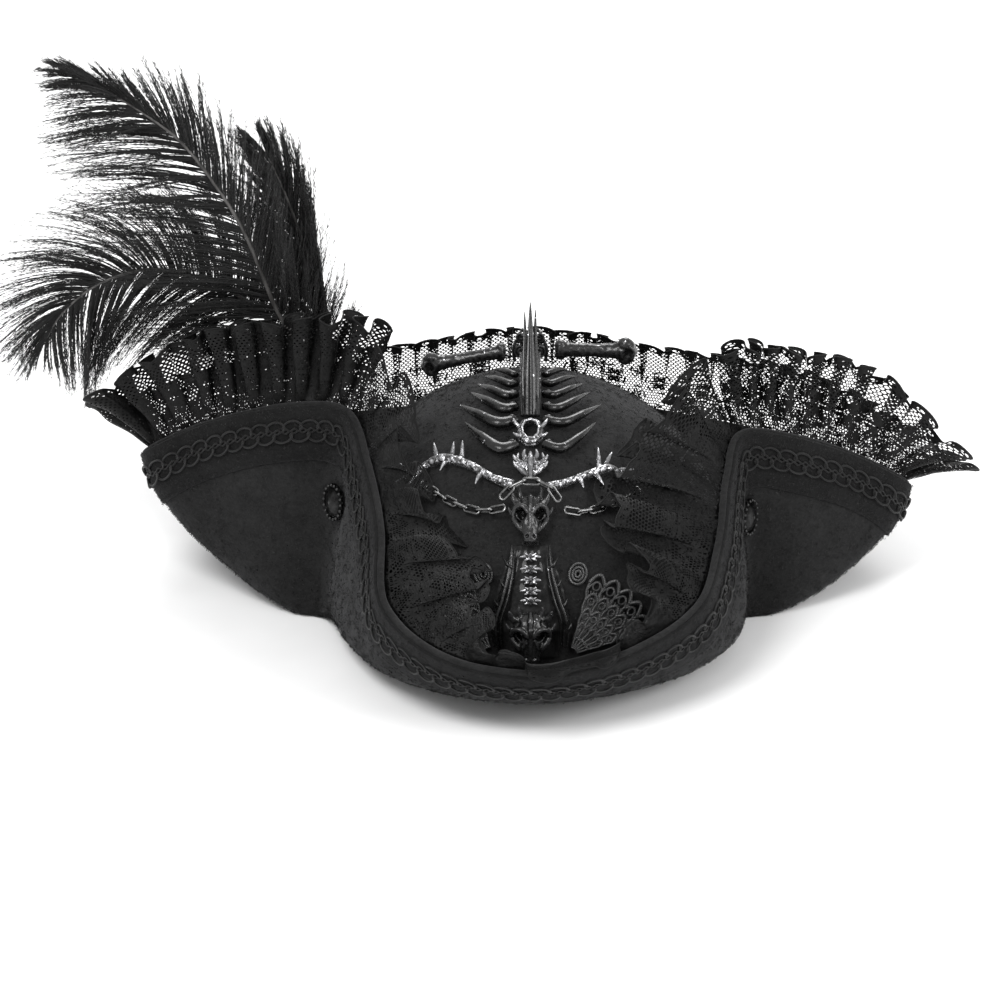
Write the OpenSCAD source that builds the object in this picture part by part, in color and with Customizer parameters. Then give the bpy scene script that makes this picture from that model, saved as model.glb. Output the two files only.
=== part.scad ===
// Felt tricorn hat with lace, three plumes and a cast bone ornament.
// The origin is the centre of the head opening. The front faces -Y.

/* [Crown] */
// Half of the crown's width at its base
crown_half_w = 85.5; // [84:0.5:87]
// Half of the crown's length at its base, front to back
crown_half_l = 103; // [102:0.5:104]
// Height of the crown above the head opening
crown_h = 82; // [81:0.5:83]
// Roundness of the dome: 2 is an ellipse, more is squarer
crown_n = 2.1; // [2.1:0.05:2.2]
// Thickness of the felt
felt_t = 3; // [2.5:0.25:3]

/* [Inside] */
// Thickness of the crown's lining
lining_t = 0.6; // [0.5:0.1:0.7]
// Height of the sweatband
sweatband_h = 30; // [25:1:34]
// Thickness of the sweatband
sweatband_t = 1; // [0.8:0.1:1.1]

/* [Brim trim] */
// Width of the felt band stitched along the brim's edge
hem_w = 25; // [22:1:27]
// Thickness of that band
hem_t = 1.2; // [1:0.1:1.3]
// Distance from the brim's edge to the braid
braid_inset = 6; // [5:0.5:8]
// Width of the braid
braid_w = 10.5; // [9:0.5:11]
// Thickness of the braid
braid_t = 1.6; // [1.2:0.1:1.8]
// Diameter of the wire in the brim's edge
wire_d = 1.2; // [1:0.1:1.4]
// Diameter of each brim button
button_d = 16; // [14:0.5:17]

/* [Lace] */
// Thickness of the gathered lace, folds aside
lace_t = 0.8; // [0.7:0.1:0.9]
// Depth of the lace's folds, to either side
lace_fold = 2.2; // [1.5:0.1:2.4]

/* [Plumes] */
// Radius of a quill at its root
quill_r = 1.6; // [1.4:0.1:1.7]
// Half of the thickness of a plume's vane
vane_half_t = 1.6; // [1.4:0.1:1.7]

/* [Chain] */
// Diameter of the chain's wire
link_wire = 1.1; // [1:0.05:1.15]
// Length inside each link
link_inner = 6.2; // [6:0.1:6.3]
// Width inside each link
link_gap = 1.7; // [1.6:0.05:1.8]

/* [Hidden] */
// Each rib: its root's y, its tip's x and y, and its thickness.
rib_shapes = [[-40, 26.5, -22, 2.2], [-24, 28.5, -7, 2.1], [-14, 23.8, 2, 1.9], [-3, 21.5, 10, 1.7],
    [8, 18.5, 18, 1.5], [19, 15, 27, 1.4]];

// The brim, told by stations round the hat. Each station is the angle of its place on the crown's
// base, from the front towards +X, then the brim's edge, then the control point of the fold,
// and last the lace's free hem, measured from the brim's edge.
stations = [
    [0,    0, -152, 24,    0, -132, -10,    0, 7, 6],
    [18,   38, -140, 27,   38, -124, -11,   -2, 6, 7],
    [38,   70, -112, 36,   76, -102, -14,   -20, 10, 10],
    [54,   80, -76, 50,   100, -76, -14,   -42, -2, 14],
    [66,   84, -42, 65,   102, -44, -16,   -34, 4, 16],
    [75,   90, -22, 75,    97, -28, -36,   -4, 4, 34],
    [82,   112, -12, 69,   120, -30, -38,    3, 2, 37],
    [90,   138, 0, 55,    144, -18, -29,    12, 2, 36],
    [100,  161, 13, 36,    152, 4, -12,     29, 2, 6],
    [112,  150, 46, 22,    140, 42, -8,     25, 7, 15],
    [130,  112, 96, 18,    105, 88, -12,    12, 8, 27],
    [152,  56, 134, 14,    52, 124, -12,    2, 2, 29],
    [180,  0, 152, 14,     0, 134, -12,     0, 0, 30],
    [208, -56, 134, 15,   -52, 124, -12,    -2, 2, 29],
    [230, -112, 96, 26,   -105, 88, -12,    -12, 8, 26],
    [248, -152, 46, 38,   -140, 42, -6,     -22, 6, 20],
    [260, -164, 13, 51,   -151, 4, -6,      -24, 2, 22],
    [270, -138, 1, 69,    -141, -14, -26,    -8, 2, 38],
    [278, -106, -12, 83,  -118, -30, -38,    -2, 0, 38],
    [285, -79, -22, 86,    -95, -28, -36,    10, 4, 34],
    [294, -70, -44, 73,    -92, -44, -18,    14, 0, 4],
    [306, -64, -76, 57,    -88, -76, -14,    24, 2, -2],
    [322, -62, -112, 38,   -70, -102, -14,    36, 10, 8],
    [342, -38, -140, 27,   -38, -124, -11,    14, 10, 8]
];
columns = 96;
inner_rows = 5;
// Places round the brim, in stations, where the lengths of lace meet.
lace_joins = [4.9, 8.9, 15.1, 19.1];

// Buttons: station and share of the way out along the brim.
button_right_at = [4.82, 0.81];
button_left_at = [19.25, 0.815];

gap = 0.15;
crown_ratio = crown_half_l / crown_half_w;
lining_inset = felt_t + 0.3;
band_inset = lining_inset + lining_t + 0.3;

// Roots of the three quills, then points along each plume, then the vane's half widths.
tall_path = [[-84.2, 22, 31], [-84.8, 22, 45], [-88.5, 22, 66], [-97, 22, 92], [-108, 22, 114],
    [-123, 22, 153], [-145, 20, 189], [-162, 17, 209], [-183, 13, 227], [-203, 8, 236]];
tall_vane = [0, 0, 4, 12, 26, 42, 42, 34, 24, 8];
curled_path = [[-81.4, 34, 31], [-82, 34, 45], [-88, 34, 62], [-99, 34, 84], [-117, 35, 108],
    [-140, 36, 121], [-162, 36, 125], [-185, 34, 118], [-203, 31, 103], [-211, 28, 90]];
curled_vane = [0, 0, 3, 9, 18, 27, 28, 22, 15, 6];
short_path = [[-77.4, 46, 31], [-77.8, 46, 45], [-81, 46, 66], [-86, 46, 92], [-92, 46, 118],
    [-99, 45, 142], [-106, 44, 162], [-112, 43, 176]];
short_vane = [0, 0, 3, 10, 17, 18, 14, 6];
socket_h = 9;
socket_r = 4.6;
socket_bore_r = 3;
plume_floor = 0.7;

// Heights round the meridian of the crown, in degrees: 0 is the front, 90 the top.
skull_low = 12.6;
plate_from = 6;
plate_to = 37;

// The two swags, from the end sewn on the crown to the end at the neck: x, y and lift.
swag_left = [[-42, -49.5, 2.4], [-32, -61.5, 2.4], [-21, -69, 3], [-10.5, -71, 5.4]];
swag_right = [[42, -52.5, 2.4], [32, -62.5, 2.4], [21, -69.5, 3], [10.5, -71, 5.4]];
link_pitch = link_inner - 0.3;

// ---------- vectors ----------
function unit(v) = v / norm(v);
function spline(p0, p1, p2, p3, t) = 0.5 * (2 * p1 + (p2 - p0) * t
    + (2 * p0 - 5 * p1 + 4 * p2 - p3) * t * t + (3 * p1 - p0 - 3 * p2 + p3) * t * t * t);
// A point at t, counted in points, on the smooth curve through an open list of points.
function along(list, t) = let(last = len(list) - 1, i = min(floor(t), last - 1))
    spline(list[max(i - 1, 0)], list[i], list[i + 1], list[min(i + 2, last)], t - i);

// ---------- crown surface ----------
function signed_power(v, p) = sign(v) * pow(abs(v), p);
// A point of the dome: turn is from the front towards +X, rise is 0 at the base and 90 at the top.
function dome(turn, rise, inset = 0) = let(c = signed_power(cos(rise), 2 / crown_n))
    [(crown_half_w - inset) * c * sin(turn), -(crown_half_l - inset) * c * cos(turn),
     (crown_h - inset) * pow(sin(rise), 2 / crown_n)];
function dome_normal(p) = let(
    t = norm([p.x / crown_half_w, p.y / crown_half_l]),
    k = pow(max(t, 0.001), crown_n - 2))
    unit([k * p.x / pow(crown_half_w, 2), k * p.y / pow(crown_half_l, 2),
          pow(max(p.z, 0.001), crown_n - 1) / pow(crown_h, crown_n)]);
// The dome's point above or in front of (x, y), lifted along the normal.
function on_top(x, y, lift) = let(
    t = norm([x / crown_half_w, y / crown_half_l]),
    p = [x, y, crown_h * pow(1 - pow(t, crown_n), 1 / crown_n)])
    p + dome_normal(p) * lift;
// The dome's front point at width x and height z, lifted along the normal.
function on_front(x, z, lift) = let(
    c = pow(1 - pow(z / crown_h, crown_n), 1 / crown_n),
    p = [x, -crown_half_l * sqrt(pow(c, 2) - pow(x / crown_half_w, 2)), z])
    p + dome_normal(p) * lift;

// ---------- brim surface ----------
function station(i) = let(n = len(stations), k = i % n < 0 ? i % n + n : i % n)
    concat([stations[k][0] + 360 * floor(i / n)], [for (j = [1:9]) stations[k][j]]);
function brim_at(u) = let(i = floor(u))
    spline(station(i - 1), station(i), station(i + 1), station(i + 2), u - i);
function base_of(s) = [(crown_half_w + gap) * sin(s[0]), -(crown_half_l + gap) * cos(s[0]), 0];
function edge_of(s) = [s[1], s[2], s[3]];
function fold_of(s) = [s[4], s[5], s[6]];
function hem_of(s) = [s[7], s[8], s[9]];
function profile(s, v) = (1 - v) * (1 - v) * base_of(s) + 2 * v * (1 - v) * fold_of(s)
    + v * v * edge_of(s);
function profile_slope(s, v) = (1 - v) * (fold_of(s) - base_of(s)) + v * (edge_of(s) - fold_of(s));
function brim_normal(u, v) = let(step = 0.08)
    unit(cross(profile(brim_at(u + step), v) - profile(brim_at(u - step), v),
               profile_slope(brim_at(u), v)));
// A point of the brim at station u and share v, lifted outwards from the outer face.
function brim(u, v, lift) = profile(brim_at(u), v) + brim_normal(u, v) * lift;
// The share v that lies at a distance in from the edge.
function share_in(u, d) = let(s = brim_at(u), e = edge_of(s),
    first = d / (2 * norm(e - fold_of(s))),
    second = first * d / norm(profile(s, 1 - first) - e),
    third = second * d / norm(profile(s, 1 - second) - e))
    1 - third;

// The distances in from the edge at which the brim and what lies on it share their rows.
shared_rows = [hem_w, braid_inset + braid_w, braid_inset];
// The brim's rows at station u, from the crown to the edge, as shares v.
function brim_shares(u) = let(first = share_in(u, hem_w)) concat(
    [for (k = [0:inner_rows - 1]) first * k / inner_rows],
    [for (d = shared_rows) share_in(u, d)], [1]);

// ---------- solids from rows of points ----------
function quad(a, b, c, d) = [[a, b, c], [a, c, d]];
// A closed thin solid between two grids of points. closed joins the last column to the first.
module skin(outer, inner, closed) {
    rows = len(outer);
    cols = len(outer[0]);
    count = rows * cols;
    steps = closed ? cols : cols - 1;
    function at(side, i, j) = side * count + i * cols + j % cols;
    polyhedron(
        points = concat([for (r = outer) each r], [for (r = inner) each r]),
        faces = [
            for (i = [0:rows - 2], j = [0:steps - 1])
                each quad(at(0, i, j), at(0, i + 1, j), at(0, i + 1, j + 1), at(0, i, j + 1)),
            for (i = [0:rows - 2], j = [0:steps - 1])
                each quad(at(1, i, j), at(1, i, j + 1), at(1, i + 1, j + 1), at(1, i + 1, j)),
            for (j = [0:steps - 1])
                each quad(at(1, 0, j), at(0, 0, j), at(0, 0, j + 1), at(1, 0, j + 1)),
            for (j = [0:steps - 1])
                each quad(at(0, rows - 1, j), at(1, rows - 1, j), at(1, rows - 1, j + 1),
                    at(0, rows - 1, j + 1)),
            if (!closed) for (i = [0:rows - 2])
                each quad(at(1, i, 0), at(1, i + 1, 0), at(0, i + 1, 0), at(0, i, 0)),
            if (!closed) for (i = [0:rows - 2])
                each quad(at(0, i, cols - 1), at(0, i + 1, cols - 1), at(1, i + 1, cols - 1),
                    at(1, i, cols - 1))
        ]);
}

// A solid through rings of points, with flat ends. A closed loft has no ends.
module loft(rings, looped = false) {
    n = len(rings[0]);
    m = len(rings);
    steps = looped ? m : m - 1;
    function at(i, j) = (i % m) * n + j % n;
    polyhedron(
        points = [for (r = rings) each r],
        faces = [
            for (i = [0:steps - 1], j = [0:n - 1])
                each quad(at(i, j), at(i, j + 1), at(i + 1, j + 1), at(i + 1, j)),
            if (!looped) [for (j = [0:n - 1]) n - 1 - j],
            if (!looped) [for (j = [0:n - 1]) (m - 1) * n + j]
        ]);
}

// A ring of points round p, square to direction d, with half sizes a and b.
function ring(p, d, side, a, b, n) = let(w = unit(d), s = unit(side - w * (side * w)),
    t = cross(w, s))
    [for (k = [0:n - 1]) p + s * a * cos(-360 * k / n) + t * b * sin(-360 * k / n)];

// A horn or tube along a list of points with a radius at each.
module horn(path, radii, sides, per = 2, side = [0, 0, 1]) {
    last = len(path) - 1;
    loft([for (k = [0:last * per]) let(t = k / per, a = max(t - 0.2, 0), b = min(t + 0.2, last))
        ring(along(path, t), along(path, b) - along(path, a), side, along(radii, t),
            along(radii, t), sides)]);
}

// Places a child on the crown's middle line, its Z out of the felt and its Y up the crown.
module on_crown(rise, lift = 0) {
    p = dome(0, rise);
    n = dome_normal(p);
    translate(p + n * lift) rotate([atan2(-n.y, n.z), 0, 0]) children();
}

// Turns a child's Z to a direction.
module facing(d) {
    rotate([0, acos(d.z / norm(d)), atan2(d.y, d.x)]) children();
}

module bar_between(a, b, r) {
    translate(a) facing(b - a) cylinder(h = norm(b - a), r = r, $fn = 24);
}

// ---------- crown and brim ----------
function dome_profile(inset, from, to, steps) = [for (k = [0:steps])
    let(a = from + (to - from) * k / steps, p = dome(90, a, inset)) [max(p.x, 0), p.z]];

module dome_shell(inset, t, from) {
    steps = 11;
    outer = dome_profile(inset, from, 90, steps);
    inner = dome_profile(inset + t, from, 90, steps);
    scale([1, crown_ratio, 1])
        rotate_extrude($fn = 64)
            polygon(concat(outer, [for (k = [0:steps]) inner[steps - k]]));
}

module felt_crown() {
    color("#26262a") dome_shell(0, felt_t, 0);
}

module felt_brim() {
    rows = inner_rows + len(shared_rows);
    function grid(lift) = [for (k = [0:rows]) [for (j = [0:columns - 1])
        brim(j / 4, brim_shares(j / 4)[k], lift)]];
    color("#2c2c30") skin(grid(0), grid(-felt_t), true);
}

// A band on the brim's outer face through a list of distances in from its edge.
module edge_band(distances, low, high) {
    function grid(lift) = [for (d = distances) [for (j = [0:columns - 1])
        brim(j / 4, share_in(j / 4, d), lift)]];
    skin(grid(high), grid(low), true);
}

module hem_band() {
    color("#303034") edge_band(concat(shared_rows, [0.3]), gap, gap + hem_t);
}

module braid_trim() {
    low = gap * 2 + hem_t;
    color("#151517") edge_band([shared_rows[1], shared_rows[2]], low, low + braid_t);
}

module brim_wire() {
    rings = [for (j = [0:columns - 1]) let(u = j / 4, p = brim(u, share_in(u, 2), -felt_t / 2),
        q = brim(u + 0.1, share_in(u + 0.1, 2), -felt_t / 2))
        ring(p, q - p, [0, 0, 1], wire_d / 2, wire_d / 2, 6)];
    color("#8a8a90") loft(rings, true);
}

module crown_lining() {
    color("#1a1a1c") dome_shell(lining_inset, lining_t, 4);
}

module sweatband() {
    bottom = crown_half_w - band_inset;
    top = dome(90, 24, band_inset).x;
    color("#3a342e") difference() {
        scale([1, crown_ratio, 1])
            cylinder(h = sweatband_h, r1 = bottom, r2 = top, $fn = 64);
        translate([0, 0, -1]) scale([1, crown_ratio, 1])
            cylinder(h = sweatband_h + 2, r1 = bottom - sweatband_t, r2 = top - sweatband_t,
                $fn = 64);
    }
}

// ---------- lace ----------
// A gathered length of lace, sewn inside the brim's edge. It is waved across its length.
module lace(from, to, folds) {
    steps = folds * 4;
    function wave(k) = sin(90 * k);
    function root(u, d, k, side) = brim(u, share_in(u, d),
        -felt_t - 0.8 - side - 0.25 * (1 + wave(k)));
    function free(u, share, k, side) = let(s = brim_at(u), n = brim_normal(u, 1),
        start = brim(u, 1, -felt_t - 1.4),
        ahead = brim(u + 0.1, 1, 0) - brim(u - 0.1, 1, 0),
        turned = min(1, share * 2),
        out = unit(n * (1 - turned) + unit(cross(ahead, hem_of(s))) * turned))
        start + hem_of(s) * share + unit(profile_slope(s, 1)) * 6 * share * (1 - share)
        + out * (lace_fold * wave(k) * share - side);
    function row(r, side) = [for (k = [0:steps]) let(u = from + (to - from) * k / steps)
        r == 0 ? root(u, 7, k, side) : r == 1 ? free(u, 0.04, k, side)
        : free(u, r == 2 ? 0.5 : 1, k, side)];
    skin([for (r = [0:3]) row(r, 0)], [for (r = [0:3]) row(r, lace_t)], false);
}

module lace_front() {
    color("#101012") lace(lace_joins[3] + 0.1, 24 + lace_joins[0] - 0.1, 18);
}

module lace_right_wing() {
    color("#101012") lace(lace_joins[0] + 0.1, lace_joins[1] - 0.1, 10);
}

module lace_back() {
    color("#101012") lace(lace_joins[1] + 0.1, lace_joins[2] - 0.1, 18);
}

module lace_left_wing() {
    color("#101012") lace(lace_joins[2] + 0.1, lace_joins[3] - 0.1, 10);
}

// A corded lace fan sewn on the front of the crown. side is 1 for the right.
module applique(side) {
    rays = 14;
    function outline(k) = 30 + 2 * abs(sin(180 * k / 3.5));
    function spot(k, share, lift) = let(a = 8 + 66 * k / rays, r = 3 + outline(k) * share)
        on_front(side * (16 + r * cos(a)), 10 + 0.95 * r * sin(a), lift);
    function grid(lift) = [for (r = [0:3]) [for (k = [0:rays]) spot(k, r / 3, lift)]];
    color("#1c1c20") if (side > 0) skin(grid(0.4), grid(2.2), false);
    else skin(grid(2.2), grid(0.4), false);
}

module applique_left() {
    applique(-1);
}

module applique_right() {
    applique(1);
}

// ---------- buttons ----------
// A domed button with a beaded rim on a shank that goes through the felt.
module brim_button(at) {
    p = brim(at[0], at[1], 0);
    rim = button_d / 2;
    translate(p) facing(brim_normal(at[0], at[1])) {
        translate([0, 0, 0.9]) rotate_extrude($fn = 48)
            polygon([[0, 0], [rim - 0.8, 0], [rim, 0.8], [rim, 1.8], [rim - 1.2, 2.4],
                [rim - 1.8, 1.9], [rim - 2.6, 2.3], [rim - 4.2, 3.3], [rim - 6, 3.9], [0, 4.2]]);
        for (k = [0:17]) rotate([0, 0, 20 * k]) translate([rim - 0.7, 0, 3.1])
            sphere(r = 0.75, $fn = 16);
        translate([0, 0, -felt_t - 0.4]) cylinder(h = felt_t + 1.6, r = 1, $fn = 24);
    }
}

module button_left() {
    color("#3c3c44") brim_button(button_left_at);
}

module button_right() {
    color("#3c3c44") brim_button(button_right_at);
}

// The thread that draws the brim to the crown behind a button.
module tack(at) {
    back = felt_t + 0.8;
    a = brim(at[0], at[1], -back);
    z = a.z - 2;
    c = pow(1 - pow(z / crown_h, crown_n), 1 / crown_n);
    y = a.y * 0.92;
    crown_x = crown_half_w * sqrt(c * c - pow(y / crown_half_l, 2));
    q = [sign(a.x) * crown_x, y, z];
    color("#202022") bar_between(a, q + unit(a - q) * 0.8, 0.8);
}

module tack_left() {
    tack(button_left_at);
}

module tack_right() {
    tack(button_right_at);
}

// ---------- plumes ----------
// The sockets that hold the quills on the crown's side.
module quill_sockets() {
    color("#242428") for (path = [tall_path, curled_path, short_path])
        translate(path[0] - [0, 0, plume_floor + 1.6]) difference() {
            cylinder(h = socket_h, r = socket_r, $fn = 48);
            translate([0, 0, 1.6]) cylinder(h = socket_h, r = socket_bore_r, $fn = 48);
        }
}

module quill(path) {
    last = len(path) - 1;
    color("#504c48") horn(path, [for (k = [0:last]) quill_r - 1.2 * k / last], 8, 3);
}

module vane(path, widths) {
    last = len(path) - 1;
    color("#0e0e10") loft([for (k = [6:last * 3]) let(t = k / 3, a = max(t - 0.2, 0),
        b = min(t + 0.2, last))
        ring(along(path, t), along(path, b) - along(path, a), [0, 1, 0], vane_half_t,
            max(along(widths, t), 2.4), 6)]);
}

module quill_tall() {
    quill(tall_path);
}

module vane_tall() {
    vane(tall_path, tall_vane);
}

module quill_curled() {
    quill(curled_path);
}

module vane_curled() {
    vane(curled_path, curled_vane);
}

module quill_short() {
    quill(short_path);
}

module vane_short() {
    vane(short_path, short_vane);
}

// ---------- bone ornament ----------
// A fan of spikes that stands up behind the keyhole.
module tail_spikes() {
    root = on_top(0, -22, 3.4);
    tips = [[0, 4, 124], [-2.4, 5, 119], [2.2, 5, 120], [-2.6, 1, 103], [2.6, 1, 104]];
    roots = [[0, 0, 0], [-1.8, 1.6, 0], [1.8, 1.6, 0], [-2.6, -0.6, 0], [2.6, -0.6, 0]];
    thick = [2.5, 1.7, 1.7, 1.5, 1.5];
    color("#1e1e22") for (k = [0:4]) {
        a = root + roots[k];
        translate(a) facing(tips[k] - a)
            cylinder(h = norm(tips[k] - a), r1 = thick[k], r2 = 0.35, $fn = 20);
    }
}

// The ridged spine along the top of the crown.
module rib_spine() {
    beads = 9;
    start = -11;
    pitch = 5.6;
    lift = 4.3;
    color("#1a1a1e") {
        for (k = [0:beads - 1]) translate(on_top(0, start + pitch * k, lift)) {
            sphere(r = 4 - 0.16 * k, $fn = 28);
            if (k > 1) translate([0, 1.5, 2]) rotate([-35, 0, 0])
                cylinder(h = 3.4, r1 = 1.6, r2 = 0.4, $fn = 16);
        }
        for (k = [0:beads - 2])
            bar_between(on_top(0, start + pitch * k, lift),
                on_top(0, start + pitch * (k + 1), lift), 2.6);
    }
}

module rib_row(side) {
    color("#1a1a1e") for (r = rib_shapes)
        horn([on_top(side * 6.4, r[0], 3), on_top(side * r[1] * 0.46, r[0] - 3, 4),
              on_top(side * r[1] * 0.7, r[0] * 0.75 + r[2] * 0.25, 4.4),
              on_top(side * r[1], r[2], 3.6)],
            [r[3], r[3], r[3] * 0.7, 0.25], 8, 2);
}

module ribs_left() {
    rib_row(-1);
}

module ribs_right() {
    rib_row(1);
}

// An oval frame with an open middle, between the crest and the spine.
module keyhole_frame() {
    color("#1e1e22") on_crown(72.5, 0.5) {
        difference() {
            scale([0.62, 1, 1]) cylinder(h = 4.4, r = 8.4, $fn = 40);
            translate([0, 0.6, -1]) scale([0.55, 1, 1]) cylinder(h = 8, r = 6.2, $fn = 40);
        }
        for (side = [-1, 1]) translate([side * 3.9, 1, 3.2]) rotate([0, side * 50, 0])
            cylinder(h = 3.2, r1 = 1, r2 = 0.3, $fn = 16);
    }
}

// The pointed crest below the keyhole.
module crest_shield() {
    color("#6c6c74") on_crown(61, 0.5) {
        linear_extrude(4.6)
            polygon([[0, -7.2], [4.6, -4.4], [6.2, 1], [5.4, 5.6], [2.6, 3.6], [0, 5],
                [-2.6, 3.6], [-5.4, 5.6], [-6.2, 1], [-4.6, -4.4]]);
        translate([0, -0.8, 3.4]) sphere(r = 3.6, $fn = 28);
        for (side = [-1, 1], k = [0:2]) translate([side * 5.2, -2.4 + 3 * k, 2.6])
            rotate([-50, side * 20, 0]) cylinder(h = 3, r1 = 1.1, r2 = 0.3, $fn = 16);
    }
}

// A thorned branch. Points are x, y and lift on the crown's top.
module thorned_arm(points, radii, thorns) {
    color("#5a5a62") {
        horn([for (p = points) on_top(p.x, p.y, p.z)], radii, 8, 2);
        for (t = thorns) bar_taper(on_top(t[0], t[1], 2.2), on_top(t[2], t[3], 5.4), 1.3);
    }
}

module bar_taper(a, b, r) {
    translate(a) facing(b - a) cylinder(h = norm(b - a), r1 = r, r2 = 0.3, $fn = 16);
}

module arm_left() {
    thorned_arm([[-7.4, -61, 2.8], [-16, -56, 3], [-25, -47.5, 3.2], [-36, -39.5, 3.4],
            [-46, -39, 3], [-56, -36.5, 2.6]],
        [2.4, 1.6, 1.9, 2.2, 1.5, 0.5],
        [[-28, -45, -27, -35], [-38, -39.5, -38.5, -30], [-44, -39, -49, -46],
         [-20, -53, -22, -59], [-50, -38, -52, -31]]);
}

module arm_right() {
    thorned_arm([[7.4, -62, 2.8], [15, -58.5, 3], [24, -52.5, 3.2], [32, -47, 3.4], [39, -47, 2.8]],
        [2.4, 1.6, 1.8, 2.1, 0.6],
        [[28, -49.5, 27, -39], [34, -47, 42, -43], [20, -55.5, 21, -61]]);
}

// A skull: a round case, a muzzle, two eye sockets and teeth. s is its scale.
module skull(s, teeth) {
    scale(s) {
        difference() {
            union() {
                translate([0, 3, 3.4]) sphere(r = 8, $fn = 40);
                translate([0, -3, 3.2]) rotate([80, 0, 0])
                    cylinder(h = 8.4, r1 = 5.4, r2 = 3.6, $fn = 32);
                for (side = [-1, 1]) {
                    translate([side * 5.2, -1, 5.6]) sphere(r = 3.4, $fn = 28);
                    translate([side * 7, 5, 4]) rotate([-60, side * 40, 0])
                        cylinder(h = 6, r1 = 2, r2 = 0.4, $fn = 20);
                }
            }
            for (side = [-1, 1]) {
                translate([side * 4.2, 0.4, 9.8]) sphere(r = 3, $fn = 28);
                translate([side * 1.5, -9.4, 6.6]) sphere(r = 1.2, $fn = 20);
            }
            translate([0, 0, -9.6]) cylinder(h = 10, r = 14, $fn = 24);
        }
        for (k = [0:teeth - 1]) translate([-3 + 6 * k / (teeth - 1), -10.8, 2.6])
            rotate([70, 0, 0]) cylinder(h = 3, r1 = 0.9, r2 = 0.3, $fn = 16);
    }
}

module small_skull() {
    color("#26262c") on_crown(44, 0.7) skull(0.95, 4);
}

// The neck's bones, from the small skull down to the base skull.
module neck_bones() {
    rises = [33.4, 30.2, 27.2, 24.4, 21.8];
    color("#2c2c32") for (k = [0:4]) on_crown(rises[k], 2.9) {
        translate([0, 0, 1.8]) sphere(r = 2.1, $fn = 24);
        for (side = [-1, 1]) translate([side * 0.5, 0, 1.7]) rotate([0, side * 76, 0])
            cylinder(h = 4, r1 = 1.2, r2 = 0.5, $fn = 16);
        translate([0, 0.3, 2.6]) rotate([-28, 0, 0])
            cylinder(h = 3.4, r1 = 1.1, r2 = 0.3, $fn = 16);
    }
}

// One tusk beside the neck. It is pointed at the top and bows out below.
module tusk(side) {
    color("#1c1c20") horn([on_front(side * 7.4, 50, 4.4), on_front(side * 8.6, 41, 4.8),
            on_front(side * 11, 32, 5), on_front(side * 13.6, 24, 4.8),
            on_front(side * 13.4, 14, 4.6)],
        [0.35, 1.4, 2, 2.3, 1.2], 8, 2);
}

module tusk_left() {
    tusk(-1);
}

module tusk_right() {
    tusk(1);
}

module base_skull() {
    color("#26262c") on_crown(skull_low, 2.6) skull([1.05, 0.9, 0.85], 6);
}

// The plate behind the neck, the tusks and the base skull.
module backing_plate() {
    halves = [12, 15.4, 16, 15, 12, 8.5];
    function grid(lift) = [for (k = [0:5]) [for (j = [-3:3]) let(
        p = dome(0, plate_from + (plate_to - plate_from) * k / 5))
        on_front(halves[k] * j / 3, p.z, lift)]];
    color("#131316") skin(grid(2), grid(0.4), false);
}

// A long bone with a two-lobed knob at its outer end.
module cross_bone(a, b, r) {
    d = unit(b - a);
    lobe = [0, 0, r * 0.62];
    color("#17171a") {
        bar_between(a, b, r * 0.72);
        for (side = [-1, 1]) translate(a + d * r * 0.8 + side * lobe)
            facing(d) sphere(r = r * 0.78, $fn = 28);
        translate(a + d * 6) facing(d) cylinder(h = 8, r1 = r * 0.98, r2 = r * 0.62, $fn = 28);
        translate(b) facing(d) sphere(r = r * 0.86, $fn = 28);
    }
}

module bone_left() {
    cross_bone([-45, 45, 76], [-11.5, 45, 82.6], 4);
}

module bone_right() {
    cross_bone([44, 45, 82.8], [12, 45, 83.5], 4.5);
}

// Scrolls on a leaf-shaped back, between the two bones.
module filigree_centre() {
    color("#1b1b1f") translate([0, 47.5, 77]) rotate([90, 0, 0]) {
        linear_extrude(1.4) polygon([[-7, 0], [7, 0], [7.4, 8], [3.4, 16], [1.6, 13.6], [0, 15.4],
            [-1.6, 13.6], [-3.4, 16], [-7.4, 8]]);
        for (side = [-1, 1], spot = [[3.9, 5, 2.4], [3.8, 11.6, 1.7]])
            translate([side * spot[0], spot[1], 1.3]) rotate_extrude($fn = 32)
                translate([spot[2], 0]) circle(r = 0.8, $fn = 16);
    }
}

// ---------- chain ----------
// One oval link along X, lying in the XY plane.
module link() {
    r = link_gap / 2 + link_wire / 2;
    reach = link_inner / 2 - link_gap / 2;
    for (end = [0, 180]) rotate([0, 0, end]) translate([reach, 0, 0])
        rotate([0, 0, -90]) rotate_extrude(angle = 180, $fn = 32)
            translate([r, 0]) circle(r = link_wire / 2, $fn = 16);
    for (side = [-1, 1]) translate([-reach, side * r, 0]) rotate([0, 90, 0])
        cylinder(h = 2 * reach, r = link_wire / 2, $fn = 16);
}

// The curve parameter at which a chord of the given length from parameter t ends.
function next_at(path, t, reach, step = 0.4) = step < 0.002 ? t
    : norm(along(path, t + step) - along(path, t)) > reach ? next_at_from(path, t, t, reach, step)
    : next_at(path, t, reach, step * 2);
function next_at_from(path, from, t, reach, step) = step < 0.0005 ? t
    : norm(along(path, t + step) - along(path, from)) > reach
        ? next_at_from(path, from, t, reach, step / 2)
        : next_at_from(path, from, t + step, reach, step);
function joints_on(path, t, reach) = let(last = len(path) - 1)
    norm(path[last] - along(path, t)) < reach ? [t]
    : concat([t], joints_on(path, next_at(path, t, reach), reach));

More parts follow.
